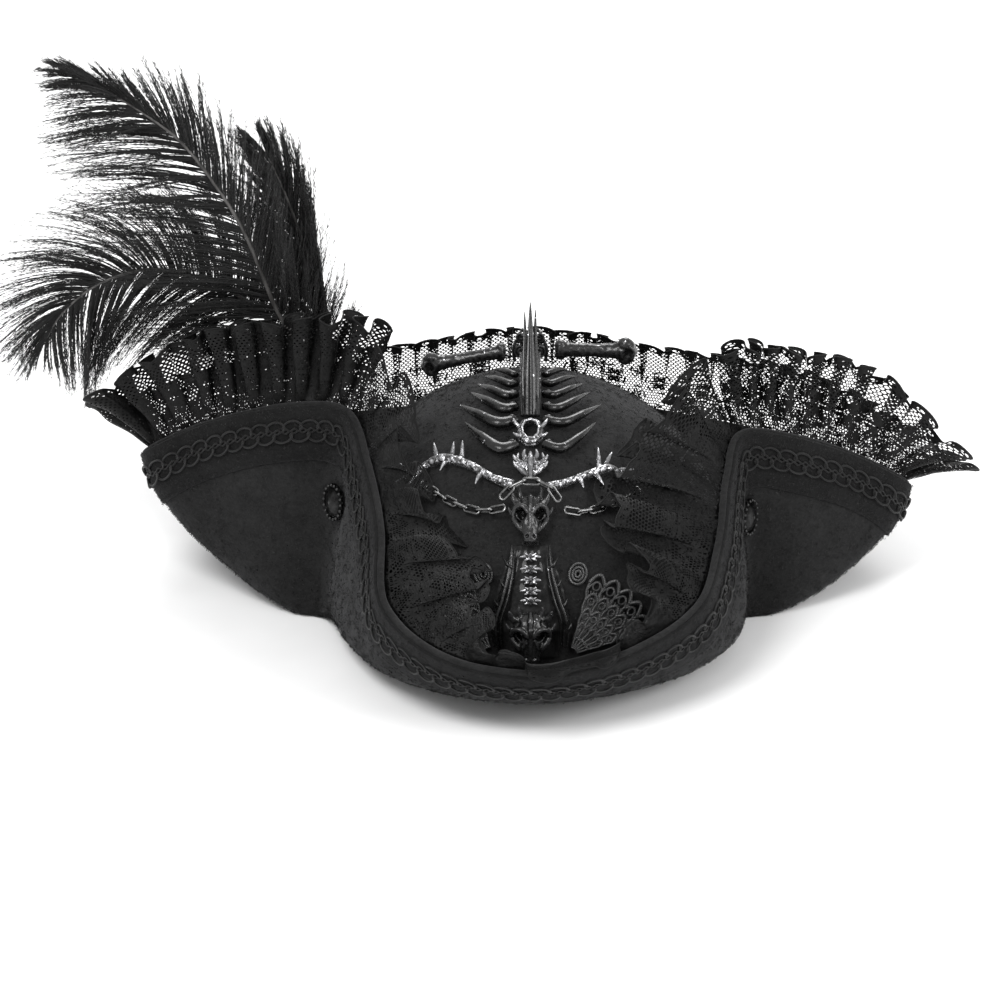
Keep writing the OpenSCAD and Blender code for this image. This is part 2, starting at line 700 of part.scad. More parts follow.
// Links along a curve, each a quarter turn from the last.
module chain(path) {
    ends = joints_on(path, 0, link_pitch);
    for (k = [0:len(ends) - 2]) {
        a = along(path, ends[k]);
        b = along(path, ends[k + 1]);
        d = b - a;
        translate((a + b) / 2) rotate([0, -asin(d.z / norm(d)), atan2(d.y, d.x)])
            rotate([45 + 90 * (k % 2), 0, 0]) link();
    }
}

function swag(points) = [for (p = points) on_top(p.x, p.y, p.z)];

module chain_left() {
    color("#77777f") chain(swag(swag_left));
}

module chain_right() {
    color("#77777f") chain(swag(swag_right));
}

// The links that lie across the top of the neck.
module chain_wrap() {
    color("#77777f") chain([[-12, -73, 69], [-8.2, -71.8, 73], [0, -70.6, 75.9], [8.2, -71.8, 73],
        [13, -73.8, 66]]);
}

// The rings that tie the two outer ends of the chain to the crown.
module jump_rings() {
    color("#77777f") for (end = [swag_left[0], swag_right[0]]) let(p = on_top(end.x, end.y, end.z))
        translate(p + [sign(p.x) * 1.6, 2, 0.4]) facing(dome_normal(p)) rotate([90, 0, 0])
            rotate_extrude($fn = 32) translate([1.7, 0]) circle(r = 0.5, $fn = 16);
}

felt_crown();
felt_brim();
hem_band();
brim_wire();
sweatband();
crown_lining();
braid_trim();
lace_front();
lace_right_wing();
lace_back();
lace_left_wing();
applique_left();
applique_right();
button_left();
button_right();
tack_left();
tack_right();
quill_sockets();
quill_tall();
vane_tall();
quill_curled();
vane_curled();
quill_short();
vane_short();
tail_spikes();
rib_spine();
ribs_left();
ribs_right();
keyhole_frame();
crest_shield();
arm_left();
arm_right();
small_skull();
neck_bones();
tusk_left();
tusk_right();
base_skull();
backing_plate();
bone_left();
bone_right();
filigree_centre();
chain_wrap();
jump_rings();
chain_left();
chain_right();
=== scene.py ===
"""The looks of a felt tricorn: felt, lace, braid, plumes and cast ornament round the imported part.

Shapes are worked out in millimetres, as in the CAD source, and stored in metres.
"""
import math

import bpy
import numpy as np
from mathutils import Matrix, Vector, noise


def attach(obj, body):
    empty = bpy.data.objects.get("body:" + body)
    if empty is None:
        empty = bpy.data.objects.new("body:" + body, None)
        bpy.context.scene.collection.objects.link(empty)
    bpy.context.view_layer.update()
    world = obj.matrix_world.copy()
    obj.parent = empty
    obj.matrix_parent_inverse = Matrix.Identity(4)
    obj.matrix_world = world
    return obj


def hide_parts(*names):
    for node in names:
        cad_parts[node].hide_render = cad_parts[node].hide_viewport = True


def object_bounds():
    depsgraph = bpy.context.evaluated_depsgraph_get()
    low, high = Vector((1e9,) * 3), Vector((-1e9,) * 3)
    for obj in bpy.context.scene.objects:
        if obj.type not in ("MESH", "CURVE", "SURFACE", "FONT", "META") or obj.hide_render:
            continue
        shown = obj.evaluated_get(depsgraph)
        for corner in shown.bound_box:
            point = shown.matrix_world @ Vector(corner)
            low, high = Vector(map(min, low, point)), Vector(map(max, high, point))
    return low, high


MM = 0.001
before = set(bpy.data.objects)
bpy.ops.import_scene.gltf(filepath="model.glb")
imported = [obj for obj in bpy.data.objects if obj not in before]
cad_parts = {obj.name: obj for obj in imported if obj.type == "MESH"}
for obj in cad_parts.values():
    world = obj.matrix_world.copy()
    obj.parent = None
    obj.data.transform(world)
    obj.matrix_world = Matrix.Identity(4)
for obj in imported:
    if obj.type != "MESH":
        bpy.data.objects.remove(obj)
# Unless it is given a seed, this noise takes one from the clock.
NOISE_SEED = 1
noise.seed_set(NOISE_SEED)
cad_box = [list(corner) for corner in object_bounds()]

# ---------- the hat's surfaces, as in the CAD source ----------
CROWN_W, CROWN_L, CROWN_H, CROWN_N = 85.5, 103.0, 82.0, 2.1
CROWN_RATIO = CROWN_L / CROWN_W
FELT_T = 3.0
HEM_W, HEM_T = 25.0, 1.2
BRAID_MID = 11.25
SEAM_GAP = 0.15
LACE_JOINS = (4.9, 8.9, 15.1, 19.1)
STATION_COUNT = 24
# Each station: base angle, the brim's edge, the fold's control point, the lace's free hem.
STATIONS = np.array([
    [0, 0, -152, 24, 0, -132, -10, 0, 7, 6],
    [18, 38, -140, 27, 38, -124, -11, -2, 6, 7],
    [38, 70, -112, 36, 76, -102, -14, -20, 10, 10],
    [54, 80, -76, 50, 100, -76, -14, -42, -2, 14],
    [66, 84, -42, 65, 102, -44, -16, -34, 4, 16],
    [75, 90, -22, 75, 97, -28, -36, -4, 4, 34],
    [82, 112, -12, 69, 120, -30, -38, 3, 2, 37],
    [90, 138, 0, 55, 144, -18, -29, 12, 2, 36],
    [100, 161, 13, 36, 152, 4, -12, 29, 2, 6],
    [112, 150, 46, 22, 140, 42, -8, 25, 7, 15],
    [130, 112, 96, 18, 105, 88, -12, 12, 8, 27],
    [152, 56, 134, 14, 52, 124, -12, 2, 2, 29],
    [180, 0, 152, 14, 0, 134, -12, 0, 0, 30],
    [208, -56, 134, 15, -52, 124, -12, -2, 2, 29],
    [230, -112, 96, 26, -105, 88, -12, -12, 8, 26],
    [248, -152, 46, 38, -140, 42, -6, -22, 6, 20],
    [260, -164, 13, 51, -151, 4, -6, -24, 2, 22],
    [270, -138, 1, 69, -141, -14, -26, -8, 2, 38],
    [278, -106, -12, 83, -118, -30, -38, -2, 0, 38],
    [285, -79, -22, 86, -95, -28, -36, 10, 4, 34],
    [294, -70, -44, 73, -92, -44, -18, 14, 0, 4],
    [306, -64, -76, 57, -88, -76, -14, 24, 2, -2],
    [322, -62, -112, 38, -70, -102, -14, 36, 10, 8],
    [342, -38, -140, 27, -38, -124, -11, 14, 10, 8],
], dtype=float)


def unit(v):
    return v / np.maximum(np.linalg.norm(v, axis=-1, keepdims=True), 1e-9)


def circle(count):
    """Evenly spaced angles once round, in radians."""
    return np.linspace(0, 2 * np.pi, count, endpoint=False)


def run_of(path):
    """The length along a path at each of its points, starting from 0."""
    return np.concatenate([[0], np.cumsum(np.linalg.norm(np.diff(path, axis=0), axis=1))])


def spline(p0, p1, p2, p3, t):
    return 0.5 * (2 * p1 + (p2 - p0) * t + (2 * p0 - 5 * p1 + 4 * p2 - p3) * t * t
                  + (3 * p1 - p0 - 3 * p2 + p3) * t ** 3)


def station(i):
    row = STATIONS[i % STATION_COUNT].copy()
    row[:, 0] += 360 * (i // STATION_COUNT)
    return row


def brim_at(u):
    i = np.floor(u).astype(int)
    t = (u - i)[:, None]
    return spline(station(i - 1), station(i), station(i + 1), station(i + 2), t)


def base_of(s):
    turn = np.radians(s[:, 0])
    return np.stack([(CROWN_W + SEAM_GAP) * np.sin(turn),
                     -(CROWN_L + SEAM_GAP) * np.cos(turn), 0 * turn], axis=1)


def profile(s, v):
    v = v[:, None]
    return (1 - v) ** 2 * base_of(s) + 2 * v * (1 - v) * s[:, 4:7] + v * v * s[:, 1:4]


def profile_slope(s, v):
    v = v[:, None]
    return (1 - v) * (s[:, 4:7] - base_of(s)) + v * (s[:, 1:4] - s[:, 4:7])


def brim_normal(u, v):
    step = 0.08
    along_rim = profile(brim_at(u + step), v) - profile(brim_at(u - step), v)
    return unit(np.cross(along_rim, profile_slope(brim_at(u), v)))


def brim(u, v, lift):
    """Points of the brim at stations u and shares v, lifted out of the outer face."""
    u, v, lift = (np.asarray(a, float) for a in np.broadcast_arrays(u, v, lift))
    return profile(brim_at(u), v) + brim_normal(u, v) * lift[:, None]


def share_in(u, d):
    """The share v that lies a distance d in from the brim's edge."""
    s = brim_at(u)
    edge = s[:, 1:4]
    share = d / (2 * np.linalg.norm(edge - s[:, 4:7], axis=1))
    for _ in range(2):
        share = share * d / np.linalg.norm(profile(s, 1 - share) - edge, axis=1)
    return 1 - share


def brim_in(u, d, lift):
    """Points of the brim a distance d in from its edge."""
    u, d, lift = (np.asarray(a, float) for a in np.broadcast_arrays(u, d, lift))
    return brim(u, share_in(u, d), lift)


def rim_scale(d):
    """Stations and lengths round the brim, a distance d in from its edge."""
    u = np.linspace(0, STATION_COUNT, 2401)
    return u, run_of(brim_in(u, d, 0))


def signed_power(v, p):
    return np.sign(v) * np.abs(v) ** p


def dome(turn, rise, inset=0.0):
    """A point of the crown; turn from the front towards +X, rise 0 at the base, in radians."""
    turn, rise, inset = np.broadcast_arrays(turn, rise, inset)
    c = signed_power(np.cos(rise), 2 / CROWN_N)
    return np.stack([(CROWN_W - inset) * c * np.sin(turn),
                     -(CROWN_L - inset * CROWN_RATIO) * c * np.cos(turn),
                     (CROWN_H - inset) * np.abs(np.sin(rise)) ** (2 / CROWN_N)], axis=-1)


def dome_normal(p):
    t = np.sqrt((p[..., 0] / CROWN_W) ** 2 + (p[..., 1] / CROWN_L) ** 2)
    k = np.maximum(t, 0.001) ** (CROWN_N - 2)
    return unit(np.stack([k * p[..., 0] / CROWN_W ** 2, k * p[..., 1] / CROWN_L ** 2,
                          np.maximum(p[..., 2], 0.001) ** (CROWN_N - 1) / CROWN_H ** CROWN_N], axis=-1))


def on_top(x, y, lift):
    """The crown's point above (x, y), lifted along its normal."""
    x, y, lift = np.broadcast_arrays(np.asarray(x, float), y, lift)
    t = np.sqrt((x / CROWN_W) ** 2 + (y / CROWN_L) ** 2)
    p = np.stack([x, y, CROWN_H * np.maximum(1 - t ** CROWN_N, 0) ** (1 / CROWN_N)], axis=-1)
    return p + dome_normal(p) * lift[..., None]


def on_front(x, z, lift):
    """The crown's front point at width x and height z, lifted along its normal."""
    x, z, lift = np.broadcast_arrays(np.asarray(x, float), z, lift)
    c = (1 - (z / CROWN_H) ** CROWN_N) ** (1 / CROWN_N)
    p = np.stack([x, -CROWN_L * np.sqrt(c ** 2 - (x / CROWN_W) ** 2), z], axis=-1)
    return p + dome_normal(p) * lift[..., None]


# ---------- meshes ----------
class Shape:
    """Collects points, faces and texture coordinates, in millimetres."""

    def __init__(self):
        self.points, self.faces, self.uvs, self.count = [], [], [], 0

    def add(self, points, faces, uv=None):
        points = np.asarray(points, float).reshape(-1, 3)
        uv = np.zeros((len(points), 2)) if uv is None else np.asarray(uv, float).reshape(-1, 2)
        self.points.append(points)
        self.uvs.append(uv)
        self.faces.extend((np.asarray(faces) + self.count).tolist())
        self.count += len(points)
        return self

    def grid(self, points, closed=False, uv=None):
        rows, cols = points.shape[:2]
        i = np.arange(rows - 1)[:, None]
        j = np.arange(cols if closed else cols - 1)[None, :]
        k = (j + 1) % cols
        faces = np.stack(np.broadcast_arrays(i * cols + j, (i + 1) * cols + j,
                                             (i + 1) * cols + k, i * cols + k), axis=-1)
        return self.add(points, faces.reshape(-1, 4), uv)

    def tube(self, path, radius, sides=8, closed=False, aspect=1.0):
        """A tube along a path, its radius given once or for each point, with rounded ends."""
        path = np.asarray(path, float)
        n = len(path)
        radius = np.broadcast_to(np.asarray(radius, float), n)
        if closed:
            tangent = unit(np.roll(path, -1, axis=0) - np.roll(path, 1, axis=0))
        else:
            tangent = unit(np.gradient(path, axis=0))
        side = np.zeros_like(path)
        seed = np.array([0.31, 0.17, 0.93])
        for i in range(n):
            seed = unit(seed - tangent[i] * seed.dot(tangent[i]))
            side[i] = seed
        up = np.cross(tangent, side)
        angle = circle(sides)
        ring = (side[:, None] * np.cos(angle)[None, :, None]
                + up[:, None] * np.sin(angle)[None, :, None] * aspect)
        points = path[:, None] + ring * radius[:, None, None]
        uv = np.stack(np.broadcast_arrays(run_of(path)[:, None], angle[None, :]), axis=-1)
        if closed:
            points = np.concatenate([points, points[:1]])
            uv = np.concatenate([uv, uv[:1]])
        self.grid(points, True, uv)
        if not closed:
            for end, way in ((0, -1), (n - 1, 1)):
                cap = path[end] + tangent[end] * way * radius[end] * 0.5
                loop = np.concatenate([points[end], cap[None]])
                tris = [[k, (k + 1) % sides, sides][::way] for k in range(sides)]
                self.add(loop, tris)
        return self

    def ball(self, centre, size, turns=20, rings=12):
        a = circle(turns)[None, :]
        b = np.linspace(-np.pi / 2, np.pi / 2, rings)[:, None]
        p = np.stack(np.broadcast_arrays(np.cos(b) * np.cos(a), np.cos(b) * np.sin(a), np.sin(b)), axis=-1)
        return self.grid(np.asarray(centre) + p * np.asarray(size, float), True)

    def blades(self, root, middle, tip, across, taper):
        """Flat pointed blades, each bent once; across is half of a blade's width at its root."""
        points = np.stack([root - across, root + across, middle + across * taper, tip], axis=-2)
        first = np.arange(points.size // 12)[:, None] * 4
        return self.add(points, np.concatenate([first + [0, 1, 2], first + [0, 2, 3]]))

    def piece(self, name, material, slot, body="root", extra_uv=None):
        mesh = bpy.data.meshes.new(name)
        mesh.from_pydata((np.concatenate(self.points) * MM).tolist(), [], self.faces)
        corners = np.empty(len(mesh.loops), dtype=np.int64)
        mesh.loops.foreach_get("vertex_index", corners)
        layers = [("cloth", np.concatenate(self.uvs) * MM)]
        if extra_uv is not None:
            layers.append(("hem", extra_uv * MM))
        for label, values in layers:
            mesh.uv_layers.new(name=label).data.foreach_set("uv", values[corners].ravel())
        mesh.polygons.foreach_set("use_smooth", [True] * len(mesh.polygons))
        mesh.validate()
        mesh.materials.append(material)
        obj = bpy.data.objects.new(name, mesh)
        bpy.context.scene.collection.objects.link(obj)
        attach(obj, body)
        return obj

    def stand_for(self, nodes, name, material, slot, **more):
        """Makes the piece and hides the CAD nodes that it stands for."""
        piece = self.piece(name, material, slot, **more)
        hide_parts(*nodes)
        return piece


def ruffled(points, size, depth):
    """Moves points by smooth noise of a given size and depth."""
    out = points.reshape(-1, 3)
    moved = [noise.noise_vector(Vector(p / size)) for p in out]
    return (out + np.array(moved) * depth).reshape(points.shape)


def along(path, t):
    """Points at t, counted in points, on a smooth curve through a list of points."""
    path = np.asarray(path, float)
    last = len(path) - 1
    t = np.clip(np.asarray(t, float), 0, last)
    i = np.minimum(np.floor(t).astype(int), last - 1)
    f = (t - i).reshape((-1,) + (1,) * (path.ndim - 1))
    return spline(path[np.maximum(i - 1, 0)], path[i], path[i + 1], path[np.minimum(i + 2, last)], f)


# ---------- materials ----------
class Nodes:
    """A material and short ways to add its nodes."""

    def __init__(self, name):
        self.material = bpy.data.materials.new(name)
        self.material.use_nodes = True
        self.tree = self.material.node_tree
        self.shader = self.tree.nodes["Principled BSDF"]

    def new(self, kind, **settings):
        node = self.tree.nodes.new(kind)
        for key, value in settings.items():
            setattr(node, key, value)
        return node

    def put(self, value, socket):
        if isinstance(value, bpy.types.NodeSocket):
            self.tree.links.new(value, socket)
        else:
            socket.default_value = value

    def math(self, operation, *values):
        node = self.new("ShaderNodeMath", operation=operation)
        for value, socket in zip(values, node.inputs):
            self.put(value, socket)
        return node.outputs[0]

    def plus(self, a, b):
        return self.math("ADD", a, b)

    def minus(self, a, b):
        return self.math("SUBTRACT", a, b)

    def times(self, a, b):
        return self.math("MULTIPLY", a, b)

    def above(self, value, limit):
        return self.math("GREATER_THAN", value, limit)

    def place(self):
        return self.new("ShaderNodeTexCoord").outputs["Object"]

    def uv(self, layer):
        split = self.new("ShaderNodeSeparateXYZ")
        self.put(self.new("ShaderNodeUVMap", uv_map=layer).outputs[0], split.inputs[0])
        return split.outputs[0], split.outputs[1]

    def noise(self, scale, detail=3.0, stretch=(1, 1, 1), rough=0.5):
        mapping = self.new("ShaderNodeMapping")
        mapping.inputs["Scale"].default_value = stretch
        self.put(self.place(), mapping.inputs["Vector"])
        node = self.new("ShaderNodeTexNoise")
        self.put(mapping.outputs[0], node.inputs["Vector"])
        node.inputs["Scale"].default_value = scale
        node.inputs["Detail"].default_value = detail
        node.inputs["Roughness"].default_value = rough
        return node.outputs["Fac"]

    def ramp(self, value, low, high, dark, bright):
        node = self.new("ShaderNodeValToRGB")
        node.color_ramp.elements[0].position = low
        node.color_ramp.elements[1].position = high
        node.color_ramp.elements[0].color = (*dark, 1)
        node.color_ramp.elements[1].color = (*bright, 1)
        self.put(value, node.inputs[0])
        return node.outputs[0]

    def span(self, value, low, high, out_low, out_high):
        node = self.new("ShaderNodeMapRange")
        for number, socket in zip((value, low, high, out_low, out_high), node.inputs):
            self.put(number, socket)
        return node.outputs[0]

    def wear(self, low, high):
        """How far a place stands out as an edge, from 0 to 1."""
        return self.span(self.new("ShaderNodeNewGeometry").outputs["Pointiness"], low, high, 0.0, 1.0)

    def cells(self, scale, **settings):
        node = self.new("ShaderNodeTexVoronoi", **settings)
        self.put(self.place(), node.inputs["Vector"])
        node.inputs["Scale"].default_value = scale
        return node

    def bump(self, height, depth, strength=1.0):
        node = self.new("ShaderNodeBump")
        node.inputs["Strength"].default_value = strength
        node.inputs["Distance"].default_value = depth
        self.put(height, node.inputs["Height"])
        self.put(node.outputs[0], self.shader.inputs["Normal"])

    def set(self, **values):
        names = {"colour": "Base Color", "rough": "Roughness", "metal": "Metallic",
                 "sheen": "Sheen Weight", "sheen_rough": "Sheen Roughness", "coat": "Coat Weight",
                 "coat_rough": "Coat Roughness", "gloss": "Specular IOR Level", "alpha": "Alpha",
                 "sheen_tint": "Sheen Tint"}
        for key, value in values.items():
            self.put(value, self.shader.inputs[names[key]])
        return self.material


def grey(value, warm=0.0):
    return (value * (1 + warm), value, value * (1 - warm * 0.6))


def felt_material(name, dark, bright):
    """Matted wool: cloudy shade, crossing fibres and a soft sheen."""
    m = Nodes(name)
    fibres = m.math("MAXIMUM", m.noise(900, 4, (1, 0.35, 1), 0.7), m.noise(800, 4, (0.4, 1, 0.8), 0.7))
    clouds = m.noise(70, 3)
    shade = m.plus(m.times(fibres, 0.7), m.times(clouds, 0.3))
    m.bump(m.plus(fibres, m.times(m.noise(260, 3), 0.6)), 0.0005, 0.9)
    return m.set(colour=m.ramp(shade, 0.42, 0.68, grey(dark), grey(bright)), rough=0.96, gloss=0.15,
                 sheen=0.12, sheen_rough=0.5, sheen_tint=(0.6, 0.6, 0.62, 1))


def fibre_material():
    m = Nodes("felt_fibre")
    return m.set(colour=m.ramp(m.noise(700, 2), 0.35, 0.7, grey(0.008), grey(0.028)), rough=0.85,
                 gloss=0.25)


def cord_material(name, dark, bright, turns, rough=0.5, gloss=0.5, sheen=0.3):
    """Thread wrapped round a cord, its turns counted per millimetre of the cord, with painted shade in its
    grooves.
    """
    m = Nodes(name)
    length, angle = m.uv("cloth")
    slant = m.plus(m.times(length, turns / MM), m.times(angle, 0.5 / MM / np.pi))
    ridge = m.math("ABSOLUTE", m.math("SINE", m.times(slant, np.pi)))
    m.bump(ridge, 0.00025, 0.8)
    # Painted shade and highlight: the colour is darkest in the grooves between the turns and lightest on
    # their crests.
    shade = m.times(ridge, m.span(m.noise(300, 2), 0.3, 0.7, 0.6, 1.0))
    return m.set(colour=m.ramp(shade, 0.1, 0.95, grey(dark), grey(bright)), rough=rough, gloss=gloss,
                 sheen=sheen, sheen_rough=0.4)


def lace_material(name, scallop, dense, hole_share):
    """Net, flowers and a corded hem: where none of them is, the lace is open.

    scallop is the length of one scallop, dense how much of the cloth its flowers fill, and hole_share the
    radius of a hole in the net as a share of the net's pitch."""
    m = Nodes(name)
    x, y = m.uv("cloth")
    _, hem = m.uv("hem")

    def cell(value, period, shift=0.0):
        """The signed distance to the nearest middle of a repeat, in millimetres."""
        turn = m.math("FRACT", m.plus(m.math("DIVIDE", value, period * MM), shift))
        return m.times(m.minus(turn, 0.5), period)

    def far(a, b):
        return m.math("SQRT", m.plus(m.times(a, a), m.times(b, b)))

    def below(value, limit):
        return m.math("LESS_THAN", value, limit)

    def either(a, b):
        return m.math("MAXIMUM", a, b)

    pitch = 1.6
    row = pitch * math.sqrt(3)
    hole = m.math("MINIMUM", far(cell(x, pitch), cell(y, row)),
                  far(cell(x, pitch, 0.5), cell(y, row, 0.5)))
    net = m.above(hole, pitch * hole_share)

    def flower(shift, height, radius, petals):
        a = cell(x, scallop, shift)
        b = m.minus(m.math("DIVIDE", y, MM), height)
        out = far(a, b)
        turn = m.times(m.math("ARCTAN2", b, a), petals / 2)
        reach = m.plus(radius * 0.45, m.times(m.math("ABSOLUTE", m.math("COSINE", turn)),
                                                     radius * 0.55))
        petal = m.times(m.math("LESS_THAN", out, reach), m.above(out, radius * 0.16))
        vein = m.above(m.math("ABSOLUTE", m.math("SINE", turn)), 0.16)
        ring = below(m.math("ABSOLUTE", m.minus(out, radius * 1.28)), 0.42)
        leaf_turn = m.math("SINE", m.times(m.math("ARCTAN2", b, a), petals))
        return either(m.times(petal, either(vein, net)), m.times(ring, m.above(leaf_turn, -0.45)))

    work = either(flower(0.0, 22, 7.6 * dense, 6), flower(0.5, 13, 6.2 * dense, 5))
    work = either(work, flower(0.5, 27, 4.2 * dense, 5))
    work = either(work, flower(0.0, 7, 4.0 * dense, 4))
    from_hem = m.math("DIVIDE", hem, MM)
    eyelet = far(cell(x, scallop / 7), m.minus(from_hem, 2.6))
    border = m.times(below(from_hem, 4.6), m.above(eyelet, 1.05))
    seam = below(y, 3 * MM)
    solid = either(either(work, border), seam)
    m.bump(m.plus(solid, m.noise(1500, 2, (1, 0.2, 1))), 0.0004, 0.7)
    return m.set(colour=m.ramp(m.noise(500, 2), 0.3, 0.7, grey(0.001), grey(0.006)), rough=0.5,
                 gloss=0.14, sheen=0.0, sheen_rough=0.4, alpha=either(solid, net))


def barb_material():
    m = Nodes("plume_barbs")
    return m.set(colour=m.ramp(m.noise(120, 3), 0.3, 0.7, grey(0.002), grey(0.011)), rough=0.6, gloss=0.3,
                 sheen=0.12, sheen_rough=0.35)


def quill_material():
    m = Nodes("plume_quill")
    streak = m.noise(350, 3, (1, 1, 0.15))
    m.bump(streak, 0.0002, 0.5)
    return m.set(colour=m.ramp(streak, 0.35, 0.65, grey(0.02, 0.05), grey(0.09, 0.04)), rough=0.45,
                 gloss=0.4)


def cast_material(name, dark, bright, metal, rough, glitter, silver):
    """Gloss black casting. Raised edges are rubbed, and glitter lies in patches on it."""
    m = Nodes(name)
    grain = m.noise(420, 4, rough=0.65)
    wear = m.wear(0.5, 0.56)
    spark = m.new("ShaderNodeSeparateColor")
    m.put(m.cells(1500).outputs["Color"], spark.inputs[0])
    fleck = m.times(m.above(spark.outputs[0], 1 - glitter),
                   m.above(m.noise(160, 2), 0.42))
    lit = m.math("MAXIMUM", m.times(wear, silver), fleck)
    m.bump(m.plus(grain, m.times(fleck, 0.8)), 0.0005, 0.55)
    shade = m.new("ShaderNodeMix", data_type="RGBA")
    m.put(lit, shade.inputs[0])
    m.put(m.ramp(grain, 0.3, 0.75, grey(dark), grey(bright)), shade.inputs[6])
    shade.inputs[7].default_value = (0.62, 0.62, 0.64, 1)
    return m.set(colour=shade.outputs[2], metal=m.math("MAXIMUM", lit, metal), gloss=0.35,
                 rough=m.span(grain, 0.3, 0.7, rough * 0.7, rough * 1.4), coat=0.2, coat_rough=0.12)


def metal_material(name, dark, bright, rough):
    m = Nodes(name)
    grain = m.noise(500, 4, rough=0.6)
    m.bump(grain, 0.0002, 0.4)
    mixed = m.plus(m.times(grain, 0.5), m.times(m.wear(0.49, 0.55), 0.5))
    return m.set(colour=m.ramp(mixed, 0.25, 0.75, grey(dark), grey(bright)), metal=1.0,
                 rough=m.span(grain, 0.3, 0.7, rough * 0.7, rough * 1.5))


def satin_material():
    m = Nodes("lining_satin")
    thread = m.noise(1600, 2, (1, 0.1, 1))
    m.bump(thread, 0.0002, 0.5)
    return m.set(colour=m.ramp(thread, 0.3, 0.7, grey(0.010), grey(0.028)), rough=0.38, gloss=0.5, sheen=0.3)


def leather_material():
    m = Nodes("band_leather")
    edge = m.cells(900, feature="DISTANCE_TO_EDGE").outputs["Distance"]
    m.bump(edge, 0.0004, 0.6)
    return m.set(colour=m.ramp(m.noise(90, 4), 0.3, 0.7, grey(0.028, 0.25), grey(0.062, 0.25)),
                 rough=m.span(edge, 0.0, 0.4, 0.65, 0.45), gloss=0.45)


FELT = felt_material("wool_felt", 0.006, 0.018)
FELT_BAND = felt_material("wool_felt_band", 0.003, 0.010)
FIBRE = fibre_material()
THREAD = cord_material("sewing_thread", 0.002, 0.008, 3.0, 0.7, 0.2, 0.0)
BRAID = cord_material("braid_cord", 0.001, 0.010, 1.6, 0.45, 0.32, 0.05)
GUIPURE = cord_material("guipure_cord", 0.004, 0.08, 1.4, 0.25, 0.9, 0.2)
LACE_WING = lace_material("lace_wing", 24.0, 1.0, 0.36)
LACE_DOUBLED = lace_material("lace_doubled", 24.0, 1.1, 0.24)
LACE_BACK = lace_material("lace_back", 24.0, 0.62, 0.36)
HEM_CORD = cord_material("lace_hem_cord", 0.001, 0.010, 2.0, 0.6, 0.25, 0.0)
BARBS = barb_material()
QUILL = quill_material()
CAST = cast_material("cast_black", 0.002, 0.008, 0.0, 0.24, 0.006, 0.06)
PLATE = cast_material("cast_plate", 0.001, 0.003, 0.0, 0.8, 0.0, 0.0)
SILVERED = cast_material("cast_silvered", 0.008, 0.05, 0.3, 0.26, 0.42, 0.6)
CHAIN = metal_material("chain_steel", 0.03, 0.36, 0.22)
BUTTON = metal_material("button_metal", 0.004, 0.07, 0.34)
WIRE = metal_material("wire_steel", 0.3, 0.6, 0.35)
SATIN = satin_material()
LEATHER = leather_material()


# ---------- felt ----------
def fibres(name, points, normals, count, length, seed):
    """Short loose fibres standing out of a felt face."""
    rng = np.random.default_rng(seed)
    pick = rng.integers(0, len(points), count)
    n = normals[pick]
    root = points[pick] + unit(np.cross(n, rng.normal(size=(count, 3)))) * rng.random((count, 1)) * 1.5
    lie = unit(np.cross(n, rng.normal(size=(count, 3))))
    size = length * rng.uniform(0.4, 1.2, (count, 1))
    mid = root + (lie + n * 0.35) * size * 0.5
    tip = mid + (unit(lie + 0.8 * rng.normal(size=(count, 3))) * 0.5 + n * 0.12) * size * 0.6
    across = unit(np.cross(lie, n)) * 0.055
    Shape().blades(root, mid, tip, across, 0.7).piece(name, FIBRE, "felt")


def felt_crown():
    turn = circle(240)[None, :]
    out_rise = np.linspace(0, np.pi / 2 - 0.004, 60)[:, None]
    outer = dome(turn, out_rise)
    inner = dome(turn, out_rise[::-1], FELT_T)
    shape = Shape().grid(ruffled(np.concatenate([inner, outer]), 14, 0.25), True)
    shape.stand_for(["felt_crown"], "crown_felt", FELT, "felt")
    skin = outer.reshape(-1, 3)
    weight = np.repeat(np.cos(out_rise[:, 0]), 240)
    rng = np.random.default_rng(4)
    pick = rng.choice(len(skin), 9000, p=weight / weight.sum())
    fibres("crown_fuzz", skin[pick], dome_normal(skin)[pick], 46000, 1.7, 11)


def felt_brim():
    u = np.linspace(0, STATION_COUNT, 480, endpoint=False)
    shares = np.linspace(0, 1, 26)
    outer = [brim(u, v, 0) for v in shares]
    edge_way = unit(profile_slope(brim_at(u), np.ones_like(u)))
    middle = brim(u, 1, -FELT_T / 2)
    n = brim_normal(u, np.ones_like(u))
    turn = [middle + (edge_way * math.sin(a) * 0.6 + n * math.cos(a)) * FELT_T / 2
            for a in np.linspace(0, np.pi, 7)[1:-1]]
    inner = [brim(u, v, -FELT_T) for v in shares[::-1]]
    rows = np.stack(outer + turn + inner + outer[:1])
    Shape().grid(ruffled(rows, 16, 0.22), True).stand_for(["felt_brim"], "brim_felt", FELT, "felt")
    rng = np.random.default_rng(5)
    for name, lift, count in (("brim_fuzz_outer", 0.1, 70000), ("brim_fuzz_inner", -FELT_T, 26000)):
        where = rng.uniform(0, STATION_COUNT, 16000)
        share = rng.uniform(0.02, 1.0, 16000) ** 0.8
        way = brim_normal(where, share) * (1 if lift > 0 else -1)
        fibres(name, brim(where, share, lift), way, count, 1.6, count)


